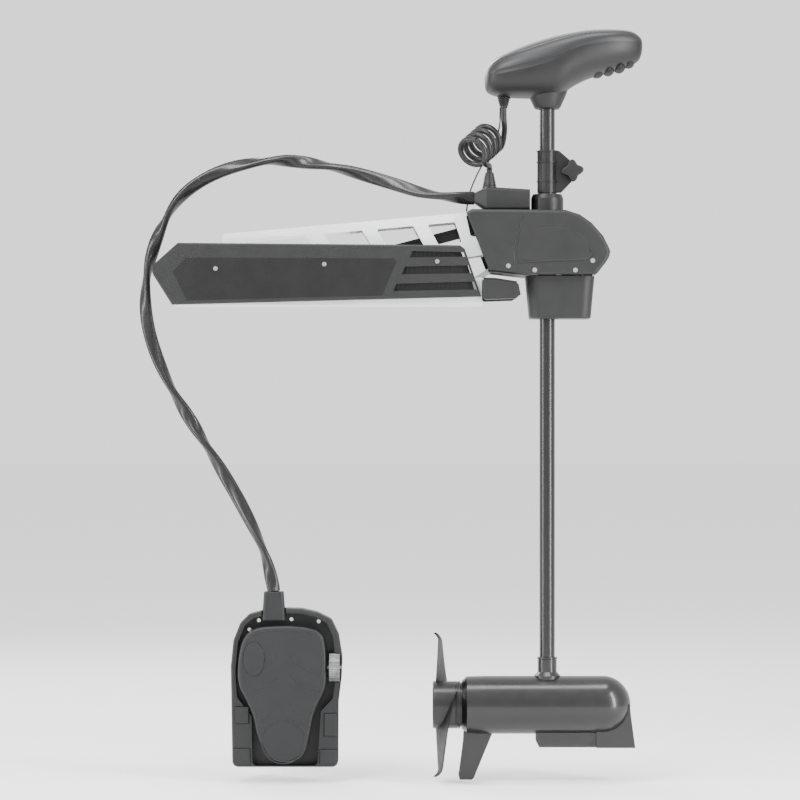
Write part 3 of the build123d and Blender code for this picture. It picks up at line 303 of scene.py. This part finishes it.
def coilPoints(fromTurn, toTurn):
    # a helix round the coil's axis: start direction turned by the angle, moved along the axis in proportion
    axis = unit(coil["axis"])
    first = np.array(coil["start"], float)
    first = unit(first - axis * (first @ axis))
    second = -np.cross(axis, first)
    count = int(round((toTurn - fromTurn) * coil["perTurn"])) + 1
    turn = np.linspace(fromTurn, toTurn, count)
    angle = turn * 2 * math.pi
    reach = coil["first"] + (coil["last"] - coil["first"]) * turn / coil["turns"]
    spoke = np.cos(angle)[:, None] * first + np.sin(angle)[:, None] * second
    return np.array(coil["centre"]) + reach[:, None] * axis + coil["radius"] * spoke


def cordPiece(name, route, halfWide, halfThick, reference, step, slot, **shape):
    line = evenly(splinePoints(name + "Line", route), step)
    made = Shape().grid(sweep(line, halfWide, halfThick, reference, **shape), closeColumns=True, caps=True)
    made = made.piece(name, materials[slot])
    return made, line


coilRadius = coil["diameter"] / 2
wrap = coilPoints(0, coil["leadTurns"])
front = coilPoints(coil["leadTurns"], coil["splitTurns"])
back = coilPoints(coil["splitTurns"], coil["turns"])
leadRoute = lowerLead + [tuple(p) for p in wrap]
coilLower, coilLowerLine = cordPiece("coilCordLead", leadRoute, coilRadius, coilRadius, coil["axis"], 0.003,
                                     "cord_rubber")
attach(coilLower, "steering_housing")
coilFront, coilFrontLine = cordPiece("coilCordFront", front, coilRadius, coilRadius, coil["axis"], 0.004,
                                     "cord_rubber")
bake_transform(coilFront)
coilBack, coilBackLine = cordPiece("coilCordBack", list(back[:-1]) + upperLead, coilRadius, coilRadius,
                                   coil["axis"], 0.004, "cord_rubber")
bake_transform(coilBack)
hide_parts("coil_cord_lower")
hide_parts("coil_cord_coil")
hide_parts("coil_cord_upper")

cable = {"halfWide": 0.0128, "halfThick": 0.0076, "twistLength": 0.36, "step": 0.006, "sway": 0.5,
         "swayRate": 17}
upperRoute = [(0.277, 0, 0.207), (0.206, 0, 0.207), (0.104, 0.038, 0.243), (0, 0.080, 0.275),
              (-0.110, 0.104, 0.291), (-0.215, 0.112, 0.272), (-0.256, 0.111, 0.247)]
lowerRoute = [(-0.256, 0.111, 0.247), (-0.297, 0.110, 0.222), (-0.343, 0.114, 0.140), (-0.366, 0.108, 0.042),
              (-0.358, 0.100, -0.050), (-0.318, 0.092, -0.150), (-0.256, 0.076, -0.246),
              (-0.195, 0.058, -0.343), (-0.149, 0.027, -0.424), (-0.118, 0.005, -0.492),
              (-0.1075, -0.003, -0.5476)]


def cableTurn(offset):
    # the flat sheath rolls steadily, with a slow sway on top
    return lambda s: offset + (s / cable["twistLength"]) * 2 * math.pi + cable["sway"] * np.sin(
        s * cable["swayRate"] + offset)


cableUpper, cableUpperLine = cordPiece("pedalCableUpper", upperRoute, cable["halfWide"], cable["halfThick"],
                                       (0, 1, 0), cable["step"], "cable_sheath", sides=28, power=2.6,
                                       turn=cableTurn(0.0))
upperLength = float(along(cableUpperLine)[-1])
cableLower, cableLowerLine = cordPiece("pedalCableLower", lowerRoute, cable["halfWide"], cable["halfThick"],
                                       (0, 1, 0), cable["step"], "cable_sheath", sides=28, power=2.6,
                                       turn=cableTurn(upperLength / cable["twistLength"] * 2 * math.pi))
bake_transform(cableUpper)
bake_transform(cableLower)
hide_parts("pedal_cable_upper")
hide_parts("pedal_cable_lower")

thin = {"radius": 0.0017}
thinUpperRoute = [(0.327, 0.005, 0.381), (0.327, 0.005, 0.364), (0.328, 0.042, 0.354), (0.322, 0.070, 0.325),
                  (0.306, 0.078, 0.297)]
thinLowerRoute = [(0.306, 0.078, 0.297), (0.290, 0.076, 0.270), (0.276, 0.062, 0.240), (0.266, 0.048, 0.212),
                  (0.263, 0.042, 0.184)]
thinUpper, thinUpperLine = cordPiece("thinCableUpper", thinUpperRoute, thin["radius"], thin["radius"],
                                     (1, 0, 0.2), 0.004, "cable_sheath", sides=12)
thinLower, thinLowerLine = cordPiece("thinCableLower", thinLowerRoute, thin["radius"], thin["radius"],
                                     (1, 0, 0.2), 0.004, "cable_sheath", sides=12)
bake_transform(thinUpper)
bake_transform(thinLower)
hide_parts("thin_cable")
print("cords made")

def meshFinish(name, colour, shade, pitch):
    # a fine woven screen: crossed sine ribs lift the bump
    made = finish(name, colour, shade, 0.34, 0, 0.08, 900, 6, 0.05, coat=0.12)
    tree = made.node_tree
    shader = tree.nodes["Principled BSDF"]
    place = tree.nodes.new("ShaderNodeTexCoord")
    split = tree.nodes.new("ShaderNodeSeparateXYZ")
    tree.links.new(place.outputs["Object"], split.inputs[0])
    ribs = []
    for axis in (0, 2):
        scaled = tree.nodes.new("ShaderNodeMath")
        scaled.operation = "MULTIPLY"
        scaled.inputs[1].default_value = 2 * math.pi / pitch
        wave = tree.nodes.new("ShaderNodeMath")
        wave.operation = "SINE"
        tree.links.new(split.outputs[axis], scaled.inputs[0])
        tree.links.new(scaled.outputs[0], wave.inputs[0])
        ribs.append(wave)
    highest = tree.nodes.new("ShaderNodeMath")
    highest.operation = "MAXIMUM"
    for k, wave in enumerate(ribs):
        tree.links.new(wave.outputs[0], highest.inputs[k])
    bump = tree.nodes.new("ShaderNodeBump")
    bump.inputs["Strength"].default_value = 0.22
    bump.inputs["Distance"].default_value = 0.0004
    tree.links.new(highest.outputs[0], bump.inputs["Height"])
    tree.links.new(bump.outputs[0], shader.inputs["Normal"])
    return made


screen = meshFinish("insetScreen", (0.0026, 0.0026, 0.0028), (0.0016, 0.0016, 0.0018), 0.0046)
for slot in bpy.data.objects["inset_panels"].material_slots:
    slot.material = screen

louvre = {"left": 0.112, "lean": 0.34, "low": 0.0215, "high": 0.1035, "cornerX": 0.2845, "cornerZ": 0.0156,
          "rightLean": 0.352, "margin": 0.004, "inner": 0.0672, "outer": 0.0688, "ripple": 0.0003,
          "pitch": 0.0085}


def louvrePlate(side):
    # a rippled dark plate behind the slots: z runs up, x leans with the cover's ends, y is a sine of x
    z = np.linspace(louvre["low"], louvre["high"], 60)[:, None]
    right = louvre["cornerX"] - louvre["margin"] - (z - louvre["cornerZ"]) * louvre["rightLean"]
    left = louvre["left"] + (z - louvre["low"]) * louvre["lean"]
    x = left + (right - left) * np.linspace(0, 1, 80)[None, :]
    ripple = louvre["ripple"] * np.sin(x * 2 * math.pi / louvre["pitch"])
    outer = np.stack([x, side * (louvre["outer"] + ripple), z + 0 * x], -1)
    inner = np.stack([x, np.full_like(x, side * louvre["inner"]), z + 0 * x], -1)
    shape = Shape().grid(np.concatenate([outer, inner[:, ::-1]], 1), closeColumns=True)
    for row in (0, -1):
        shape.grid(np.stack([outer[row], inner[row]], 0))
    return shape.piece("louvrePlateFront" if side < 0 else "louvrePlateBack", materials["black_nylon"])


for side in (-1, 1):
    plate = louvrePlate(side)
    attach(plate, "mount_base")

head = {"top": [(0.2966, 0.431), (0.2966, 0.455), (0.316, 0.474), (0.350, 0.490), (0.385, 0.5035),
                (0.430, 0.517), (0.478, 0.5265), (0.510, 0.5295), (0.545, 0.530), (0.578, 0.528),
                (0.594, 0.5165), (0.5994, 0.506), (0.5994, 0.492)],
        "bottom": [(0.2966, 0.431), (0.2970, 0.414), (0.308, 0.405), (0.330, 0.400), (0.360, 0.3985),
                   (0.400, 0.398), (0.437, 0.399), (0.452, 0.411), (0.470, 0.424), (0.501, 0.4385),
                   (0.545, 0.4500), (0.583, 0.4625), (0.597, 0.474), (0.5994, 0.492)],
        "parting": [(0.290, 0.437), (0.340, 0.447), (0.385, 0.456), (0.4316, 0.4723), (0.478, 0.4915),
                    (0.524, 0.5010), (0.565, 0.5030), (0.604, 0.5030)],
        "half": [(0.2966, 0.0), (0.2966, 0.034), (0.312, 0.056), (0.350, 0.067), (0.400, 0.073),
                 (0.450, 0.0755), (0.500, 0.071), (0.550, 0.059), (0.590, 0.040), (0.5994, 0.022),
                 (0.5994, 0.0)],
        "middle": 0.448, "halfLong": 0.1512, "stations": 150, "around": 144, "upperPower": 2.7,
        "lowerPower": 2.15, "lidAngle": 38.0, "groove": 0.0011, "grooveReach": 0.05}


def profileAt(x, points):
    # a smooth line through the profile's own control points, read at each x
    line = splinePoints("profile", [(a, 0.0, b) for a, b in points])
    order = np.argsort(line[:, 0], kind="stable")
    return np.interp(x, line[order, 0], line[order, 2])


def dip(value, centre, width):
    return np.exp(-((value - centre) / width) ** 2)


def headShell():
    # superellipse sections: the upper half has one power and the lower another, split at the parting line
    t = np.linspace(0, math.pi, head["stations"])
    x = head["middle"] - head["halfLong"] * np.cos(t)
    top, bottom = profileAt(x, head["top"]), profileAt(x, head["bottom"])
    parting = np.clip(profileAt(x, head["parting"]), bottom + 0.3 * (top - bottom),
                      top - 0.18 * (top - bottom))
    half = np.maximum(profileAt(x, head["half"]), 0.0004)
    angle = np.linspace(-math.pi, math.pi, head["around"], endpoint=False)
    c, s = np.cos(angle), np.sin(angle)
    power = np.where(s >= 0, head["upperPower"], head["lowerPower"])
    across = np.sign(c) * np.abs(c) ** (2 / power)
    over = np.sign(s) * np.abs(s) ** (2 / power)
    rise = np.where(s[None, :] >= 0, (top - parting)[:, None], (parting - bottom)[:, None])
    tilt = np.degrees(np.arcsin(s))
    cut = head["groove"] * (dip(tilt, 0, 1.4) + dip(tilt, head["lidAngle"], 1.6))
    scale = 1 - cut[None, :] / head["grooveReach"]
    y = half[:, None] * across[None, :] * scale
    z = parting[:, None] + rise * over[None, :] * scale
    points = np.stack([np.broadcast_to(x[:, None], y.shape), y, z], -1)
    shape = Shape().grid(points, closeColumns=True, caps=True)
    made = shape.piece("headShell", materials["head_plastic"], angle=60)
    for extra in (headLid, headPanel):
        made.data.materials.append(extra)
    centres = faceCentres(made)
    zTop, zPart = np.interp(centres[:, 0], x, top), np.interp(centres[:, 0], x, parting)
    share = (centres[:, 2] - zPart) / np.maximum(zTop - zPart, 1e-6)
    edge = math.sin(math.radians(head["lidAngle"])) ** (2 / head["upperPower"])
    made.data.polygons.foreach_set("material_index", np.where(share > edge, 1, np.where(share > 0, 2, 0)))
    return made


def turnedRing(profile, centre, axis="z", sides=64):
    # a profile of (along, radius) turned round a vertical or a lengthways axis
    profile = np.array(profile, float)
    angle = np.linspace(0, 2 * math.pi, sides, endpoint=False)
    c, s = np.cos(angle)[None, :], np.sin(angle)[None, :]
    run, radius = profile[:, :1], profile[:, 1:]
    if axis == "z":
        return np.stack([centre[0] + radius * c, centre[1] + radius * s, run + 0 * c], -1)
    return np.stack([run + 0 * c, centre[0] + radius * c, centre[1] + radius * s], -1)


headLid = finish("headLid", (0.0035, 0.0035, 0.004), (0.002, 0.002, 0.002), 0.17, 0, 0.03, 700, 8, 0.04,
                 coat=0.6)
headPanel = finish("headPanel", (0.0130, 0.0133, 0.0145), (0.0100, 0.0103, 0.0112), 0.42, 0, 0.12, 1200, 6,
                   0.05)
shell = headShell()
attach(shell, "shaft")
socketProfile = [(0.4160, 0.0400), (0.4060, 0.0368), (0.3960, 0.0325), (0.3870, 0.0282), (0.3810, 0.0254),
                 (0.3782, 0.0232), (0.3772, 0.0205), (0.3772, 0.0152), (0.3900, 0.0150)]
socketShape = Shape().grid(turnedRing(socketProfile, (0.417, 0)), closeColumns=True)
cordExit = {"centre": (0.3337, 0), "top": 0.4015, "bottom": 0.3850, "ribs": 5, "taper": 0.0011, "sides": 40}
exitProfile = [(0.4100, 0.0150), (0.4040, 0.0150)]
for k, z in enumerate(np.linspace(cordExit["top"], cordExit["bottom"], cordExit["ribs"])):
    narrower = cordExit["taper"] * k
    exitProfile += [(z + 0.0012, 0.0142 - narrower), (z, 0.0134 - narrower), (z - 0.0012, 0.0118 - narrower),
                    (z - 0.0022, 0.0118 - narrower)]
exitProfile += [(0.3805, 0.0078), (0.3800, 0.0058), (0.3850, 0.0054)]
socketShape.grid(turnedRing(exitProfile, cordExit["centre"], sides=cordExit["sides"]), closeColumns=True)
socket = socketShape.piece("headSocket", materials["head_plastic"], angle=40)
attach(socket, "shaft")
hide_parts("head_top_shell", "head_lower_shell")
bumps = [((0.512, 0.4475), (0.013, 0.030, 0.0105)), ((0.534, 0.4530), (0.012, 0.034, 0.0120)),
         ((0.555, 0.4585), (0.012, 0.034, 0.0120)), ((0.573, 0.4655), (0.011, 0.028, 0.0100))]
bumpShape = Shape()
for (x, z), (rx, ry, rz) in bumps:
    rise = np.linspace(-math.pi / 2, math.pi / 2, 26)[:, None]
    turn = np.linspace(0, 2 * math.pi, 40, endpoint=False)[None, :]
    bumpShape.grid(np.stack([x + rx * np.cos(rise) * np.cos(turn), ry * np.sin(rise) + 0 * turn,
                             z + rz * np.cos(rise) * np.sin(turn)], -1), closeColumns=True)
gripBumps = bumpShape.piece("gripBumps", materials["black_rubber"], angle=60)
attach(gripBumps, "shaft")
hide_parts("head_bumpers")
print("head made")

prop = {"axisZ": -0.7656, "hubRadius": 0.0453, "root": 0.0425, "tip": 0.1386, "rootSweep": 136.0,
        "back": 0.2025, "thick": 0.0046, "thin": 0.0003, "rows": 90, "chord": 30, "lean": 16.0, "bulge": 20.0,
        "tipRake": 0.006, "rootPitch": 0.034, "pitch": 0.0085, "hookStart": 0.86, "hook": 0.0105,
        "hubMargin": 0.0008}


def bladePoints(flip):
    # a swept blade: s runs out along the radius, c across the chord, and the section is a thin lens
    s = np.linspace(0, 1, prop["rows"])[:, None]
    c = np.r_[np.linspace(0, 1, prop["chord"]), np.linspace(1, 0, prop["chord"])[1:-1]][None, :]
    face = np.r_[np.ones(prop["chord"]), -np.ones(prop["chord"] - 2)][None, :]
    radius = prop["root"] + (prop["tip"] - prop["root"]) * s
    early = -90 - prop["lean"] * np.sin(math.pi * s) * (1 - 0.4 * s)
    late = -90 + prop["rootSweep"] * (1 - s) ** 1.25 + prop["bulge"] * np.sin(math.pi * s) ** 0.8 * s
    angle = np.radians(early + (late - early) * c)
    hook = np.clip((s - prop["hookStart"]) / (1 - prop["hookStart"]), 0, 1) ** 1.7
    rear = prop["back"] + prop["tipRake"] * s
    pitch = prop["rootPitch"] * (1 - s) ** 1.35 + prop["pitch"] * (1 - s * 0.35)
    x = rear + pitch * c - prop["hook"] * hook
    lens = prop["thick"] * (1 - 0.62 * s) * np.sqrt(np.clip(c * (1 - c) * 4, 0, 1)) / 2
    x = x + face * (lens + prop["thin"])
    y, z = radius * np.cos(angle), radius * np.sin(angle)
    return np.stack([x, -y * flip, prop["axisZ"] + z * flip], -1)


propShape = Shape()
hub = [(0.2524, 0.0180), (0.2524, 0.0425), (0.2502, 0.0425), (0.2500, 0.0452), (0.2492, 0.0458),
       (0.2470, 0.0458), (0.2462, 0.0445), (0.2440, 0.0445),
       (0.2432, 0.0458), (0.2412, 0.0458), (0.2404, 0.0453), (0.2020, 0.0455), (0.1985, 0.0451),
       (0.1972, 0.0438), (0.1972, 0.0400), (0.1990, 0.0385), (0.2040, 0.0360), (0.2060, 0.0200),
       (0.2060, 0.0120), (0.2490, 0.0120), (0.2524, 0.0180)]
propShape.grid(turnedRing(hub, (0, prop["axisZ"]), axis="x", sides=96), closeColumns=True)
for flip in (1, -1):
    propShape.grid(bladePoints(flip), closeColumns=True, caps=True)
propeller = propShape.piece("propellerBlades", materials["propeller_plastic"], angle=32)
bladeFinish = finish("bladeBlack", (0.0052, 0.0050, 0.0050), (0.0034, 0.0032, 0.0032), 0.5, 0, 0.1, 700, 12,
                     0.06, specular=0.16)
propeller.data.materials.append(bladeFinish)
centres = faceCentres(propeller)
outside = np.hypot(centres[:, 1], centres[:, 2] - prop["axisZ"]) > prop["hubRadius"] + prop["hubMargin"]
propeller.data.polygons.foreach_set("material_index", outside.astype(int))
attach(propeller, "propeller")
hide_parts("propeller")
print("propeller made")

pad = {"face": -0.0331, "halfWide": 0.0010, "halfThick": 0.0009, "heel": (-0.0885, -0.834),
       "heelRadius": 0.041, "button": (-0.1444, -0.6753), "buttonSize": (0.0265, 0.0395), "middle": -0.0883,
       "ringGap": 0.0022}
padBorder = [(-0.134, -0.802), (-0.139, -0.783), (-0.153, -0.748), (-0.166, -0.722), (-0.1695, -0.700),
             (-0.1645, -0.652), (-0.154, -0.632), (-0.136, -0.6225), (-0.083, -0.6195), (-0.041, -0.623),
             (-0.025, -0.629), (-0.0155, -0.644), (-0.0125, -0.722), (-0.024, -0.752), (-0.0365, -0.780),
             (-0.0405, -0.804)]
chevrons = [((0.012, -0.668), (0.030, -0.690), (0.052, -0.700), (0.070, -0.702)),
            ((0.012, -0.706), (0.028, -0.724), (0.048, -0.733), (0.068, -0.737)),
            ((0.010, -0.756), (0.022, -0.772), (0.036, -0.786), (0.044, -0.802)),
            ((0.010, -0.791), (0.022, -0.796), (0.034, -0.804), (0.040, -0.816))]


padOutline = [(-0.083, -0.612), (-0.110, -0.6125), (-0.138, -0.615), (-0.158, -0.625), (-0.171, -0.650),
              (-0.1765, -0.700), (-0.1725, -0.730), (-0.160, -0.752), (-0.145, -0.786), (-0.139, -0.822),
              (-0.124, -0.855), (-0.109, -0.868), (-0.083, -0.8745), (-0.058, -0.867), (-0.045, -0.852),
              (-0.037, -0.812), (-0.0305, -0.778), (-0.017, -0.750), (-0.005, -0.724), (-0.008, -0.640),
              (-0.019, -0.6225), (-0.040, -0.6155), (-0.060, -0.613), (-0.083, -0.612)]
padBody = {"centre": (-0.088, -0.722), "back": -0.012, "rimShare": 0.93, "rimDrop": 0.0042, "rings": 46,
           "around": 260, "spacing": 0.6}


def padShell():
    # the outline shrunk towards the centre ring by ring, with a quarter-round rim and a straight skirt behind
    line = splinePoints("padOutline", [(x, 0.0, z) for x, z in padOutline])
    line = evenly(line, float(along(line)[-1]) / padBody["around"])[:-1]
    share = np.linspace(0, 1, padBody["rings"])[1:] ** padBody["spacing"]
    rim = np.clip((share - padBody["rimShare"]) / (1 - padBody["rimShare"]), 0, 1)
    depth = pad["face"] + padBody["rimDrop"] * (1 - np.sqrt(1 - rim ** 2))
    cx, cz = padBody["centre"]
    front = np.stack([cx + share[:, None] * (line[None, :, 0] - cx), np.broadcast_to(depth[:, None],
                     (len(share), len(line))), cz + share[:, None] * (line[None, :, 2] - cz)], -1)
    skirtDepth = np.linspace(depth[-1], padBody["back"], 6)[1:]
    skirt = np.stack([np.stack([line[:, 0], np.full(len(line), y), line[:, 2]], -1) for y in skirtDepth])
    return Shape().grid(np.concatenate([front, skirt]), closeColumns=True, caps=True)


footpad = padShell().piece("footpadShell", materials["pedal_plastic"], angle=50)
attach(footpad, "footpad")
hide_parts("footpad")


def ribAlong(shape, route):
    line = evenly(splinePoints("rib", [(x, pad["face"], z) for x, z in route]), 0.0025)
    shape.grid(sweep(line, pad["halfWide"], pad["halfThick"], (0, 1, 0), sides=10), closeColumns=True,
               caps=True)


def ribRing(shape, centre, across, up):
    # an ellipse on the pad's face, carrying a small oval section
    turn = np.linspace(0, 2 * math.pi, 72, endpoint=False)
    line = np.stack([centre[0] + across * np.cos(turn), np.full(72, pad["face"]),
                     centre[1] + up * np.sin(turn)], -1)
    tangent = np.roll(line, -1, 0) - np.roll(line, 1, 0)
    tangent /= np.linalg.norm(tangent, axis=1)[:, None]
    side = np.cross(tangent, (0, 1, 0))
    angle = np.linspace(0, 2 * math.pi, 10, endpoint=False)
    shape.grid(line[:, None, :] + pad["halfWide"] * np.cos(angle)[None, :, None] * side[:, None, :]
               + pad["halfThick"] * np.sin(angle)[None, :, None] * np.array([0, 1, 0]),
               closeRows=True, closeColumns=True)


ribShape = Shape()
ribAlong(ribShape, padBorder)
for route in chevrons:
    for hand in (-1, 1):
        ribAlong(ribShape, [(pad["middle"] + hand * x, z) for x, z in route])
ribRing(ribShape, pad["heel"], pad["heelRadius"], pad["heelRadius"])
ribRing(ribShape, pad["button"], *[size / 2 + pad["ringGap"] for size in pad["buttonSize"]])
ribs = ribShape.piece("footpadRibs", materials["pedal_plastic"])
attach(ribs, "footpad")
wheelFinish = finish("wheelClear", (0.20, 0.205, 0.21), (0.035, 0.036, 0.038), 0.16, 0, 0.1, 500, 55, 0.05,
                     coat=0.6)
for slot in bpy.data.objects["speed_wheel"].material_slots:
    slot.material = wheelFinish
print("footpad ribs made")

housing = {"face": 0.0750, "ridge": 0.0016, "seam": 0.0007}
ridgeRoute = [(0.358, 0.0800), (0.412, 0.0842), (0.478, 0.0850), (0.4955, 0.0905), (0.5000, 0.1030),
              (0.4880, 0.1190), (0.4680, 0.1400), (0.4440, 0.1475), (0.400, 0.1462)]
seamRoutes = [[(0.3690, 0.1680), (0.3600, 0.1420), (0.3510, 0.1160), (0.3480, 0.1090)],
              [(0.3513, 0.1010), (0.3508, 0.0840), (0.3503, 0.0670)]]


def wireOnFace(name, routes, side, radius, material):
    # half-sunk round wires that follow splines over the flat side of the housing
    shape = Shape()
    for route in routes:
        line = evenly(splinePoints(name, [(x, side * housing["face"], z) for x, z in route]), 0.003)
        shape.grid(sweep(line, radius, radius, (0, 1, 0), sides=12), closeColumns=True, caps=True)
    made = shape.piece(name, materials[material])
    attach(made, "steering_housing")


for side, end in ((-1, "Front"), (1, "Back")):
    wireOnFace("housingRidge" + end, [ridgeRoute], side, housing["ridge"], "charcoal_plastic")
    wireOnFace("housingSeam" + end, seamRoutes, side, housing["seam"], "gloss_black_plastic")

gland = {"centre": (0.306, 0.0), "low": 0.2262, "high": 0.2550, "ribs": 6, "wide": 0.0142, "narrow": 0.0092}
glandProfile = [(gland["low"] - 0.002, 0.011), (gland["low"] - 0.002, gland["wide"])]
ribPitch = (gland["high"] - gland["low"]) / gland["ribs"]
for k in range(gland["ribs"]):
    z = gland["low"] + ribPitch * k
    r = gland["wide"] + (gland["narrow"] - gland["wide"]) * k / (gland["ribs"] - 1)
    glandProfile += [(z + 0.1 * ribPitch, r), (z + 0.6 * ribPitch, r - 0.0003),
                     (z + 0.66 * ribPitch, r - 0.0016), (z + 0.94 * ribPitch, r - 0.0018)]
glandProfile += [(gland["high"] + 0.0012, 0.0072), (gland["high"] + 0.0012, 0.0052)]
glandShape = Shape().grid(turnedRing(glandProfile, gland["centre"], sides=48), closeColumns=True)
cordGland = glandShape.piece("cordGland", materials["cord_rubber"], angle=40)
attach(cordGland, "steering_housing")
print("housing lines and gland made")

knob = {"x": 0.4645, "z": 0.2585, "front": -0.0300, "back": -0.0125, "radius": 0.0178, "lobe": 0.0034,
        "tilt": 0.09, "rim": 0.0028, "bolt": 0.0040, "boltEnd": 0.0160, "nut": 0.0070, "nutStart": 0.0092,
        "overlap": 0.001, "around": 96}


def knobRow(y, shrink):
    # four soft lobes: the radius is a cosine of four times the angle, less the rim's shrink
    turn = np.linspace(0, 2 * math.pi, knob["around"], endpoint=False)
    radius = knob["radius"] + knob["lobe"] * np.cos(4 * (turn - knob["tilt"])) - shrink
    return np.stack([knob["x"] + radius * np.cos(turn), np.full(knob["around"], y),
                     knob["z"] + radius * np.sin(turn)], -1)


quarter = np.linspace(0, math.pi / 2, 7)
rows = [knobRow(knob["front"], knob["radius"] - knob["bolt"])]
for edge, hand, angles in ((knob["front"], 1, quarter[::-1]), (knob["back"], -1, quarter)):
    rows += [knobRow(edge + hand * knob["rim"] * (1 - math.sin(q)),
                     knob["rim"] * (1 - math.cos(q))) for q in angles]
knobShape = Shape().grid(np.stack(rows), closeColumns=True, caps=True)
for radius, y0, y1, sides in ((knob["bolt"], knob["back"] - knob["overlap"], knob["boltEnd"], 24),
                              (knob["nut"], knob["nutStart"], knob["boltEnd"] - knob["overlap"], 6)):
    turn = np.linspace(0, 2 * math.pi, sides, endpoint=False)
    post = [np.stack([knob["x"] + radius * np.cos(turn), np.full(sides, y),
                      knob["z"] + radius * np.sin(turn)], -1)
            for y in (y0, y1)]
    knobShape.grid(np.stack(post), closeColumns=True, caps=True)
collarKnob = knobShape.piece("collarKnob", materials["black_nylon"], angle=40)
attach(collarKnob, "collar_knob")
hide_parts("collar_knob")
print("knob made")

studio = {"floorSize": 60.0, "floorDrop": 0.006, "paper": (0.93, 0.93, 0.93), "ambient": 1.5,
          "middle": (0.13, 0.0, -0.1)}
floorMesh = bpy.data.meshes.new("floor")
half = studio["floorSize"] / 2
low = cadLow.z - studio["floorDrop"]
floorMesh.from_pydata([(-half, -half, low), (half, -half, low), (half, half, low), (-half, half, low)], [],
                      [(0, 1, 2, 3)])
floor = bpy.data.objects.new("floor", floorMesh)
paper = finish("paper", studio["paper"], studio["paper"], 0.9, grain=0.02, cloud=2.0)
floorMesh.materials.append(paper)
bpy.context.collection.objects.link(floor)

world = bpy.data.worlds.new("studio")
world.use_nodes = True
backdrop = world.node_tree.nodes["Background"]
backdrop.inputs["Color"].default_value = (1, 1, 1, 1)
backdrop.inputs["Strength"].default_value = studio["ambient"]
bpy.context.scene.world = world


def softLight(name, place, target, size, power):
    data = bpy.data.lights.new(name, "AREA")
    data.shape = "RECTANGLE"
    data.size, data.size_y = size
    data.energy = power
    lamp = bpy.data.objects.new(name, data)
    lamp.location = place
    lamp.rotation_euler = (Vector(target) - Vector(place)).to_track_quat("-Z", "Y").to_euler()
    bpy.context.collection.objects.link(lamp)


for name, place, size, power in (("keyLight", (-1.5, -2.6, 2.2), (1.2, 1.6), 150),
                                 ("fillLight", (2.1, -1.5, 0.2), (0.35, 2.8), 110),
                                 ("sideLight", (-2.4, -0.9, -0.2), (0.35, 2.6), 70),
                                 ("topLight", (0.3, -0.6, 2.8), (2.2, 1.0), 90),
                                 ("backLight", (-1.2, 2.4, 1.4), (1.6, 1.6), 60)):
    softLight(name, place, studio["middle"], size, power)
print("stage made")
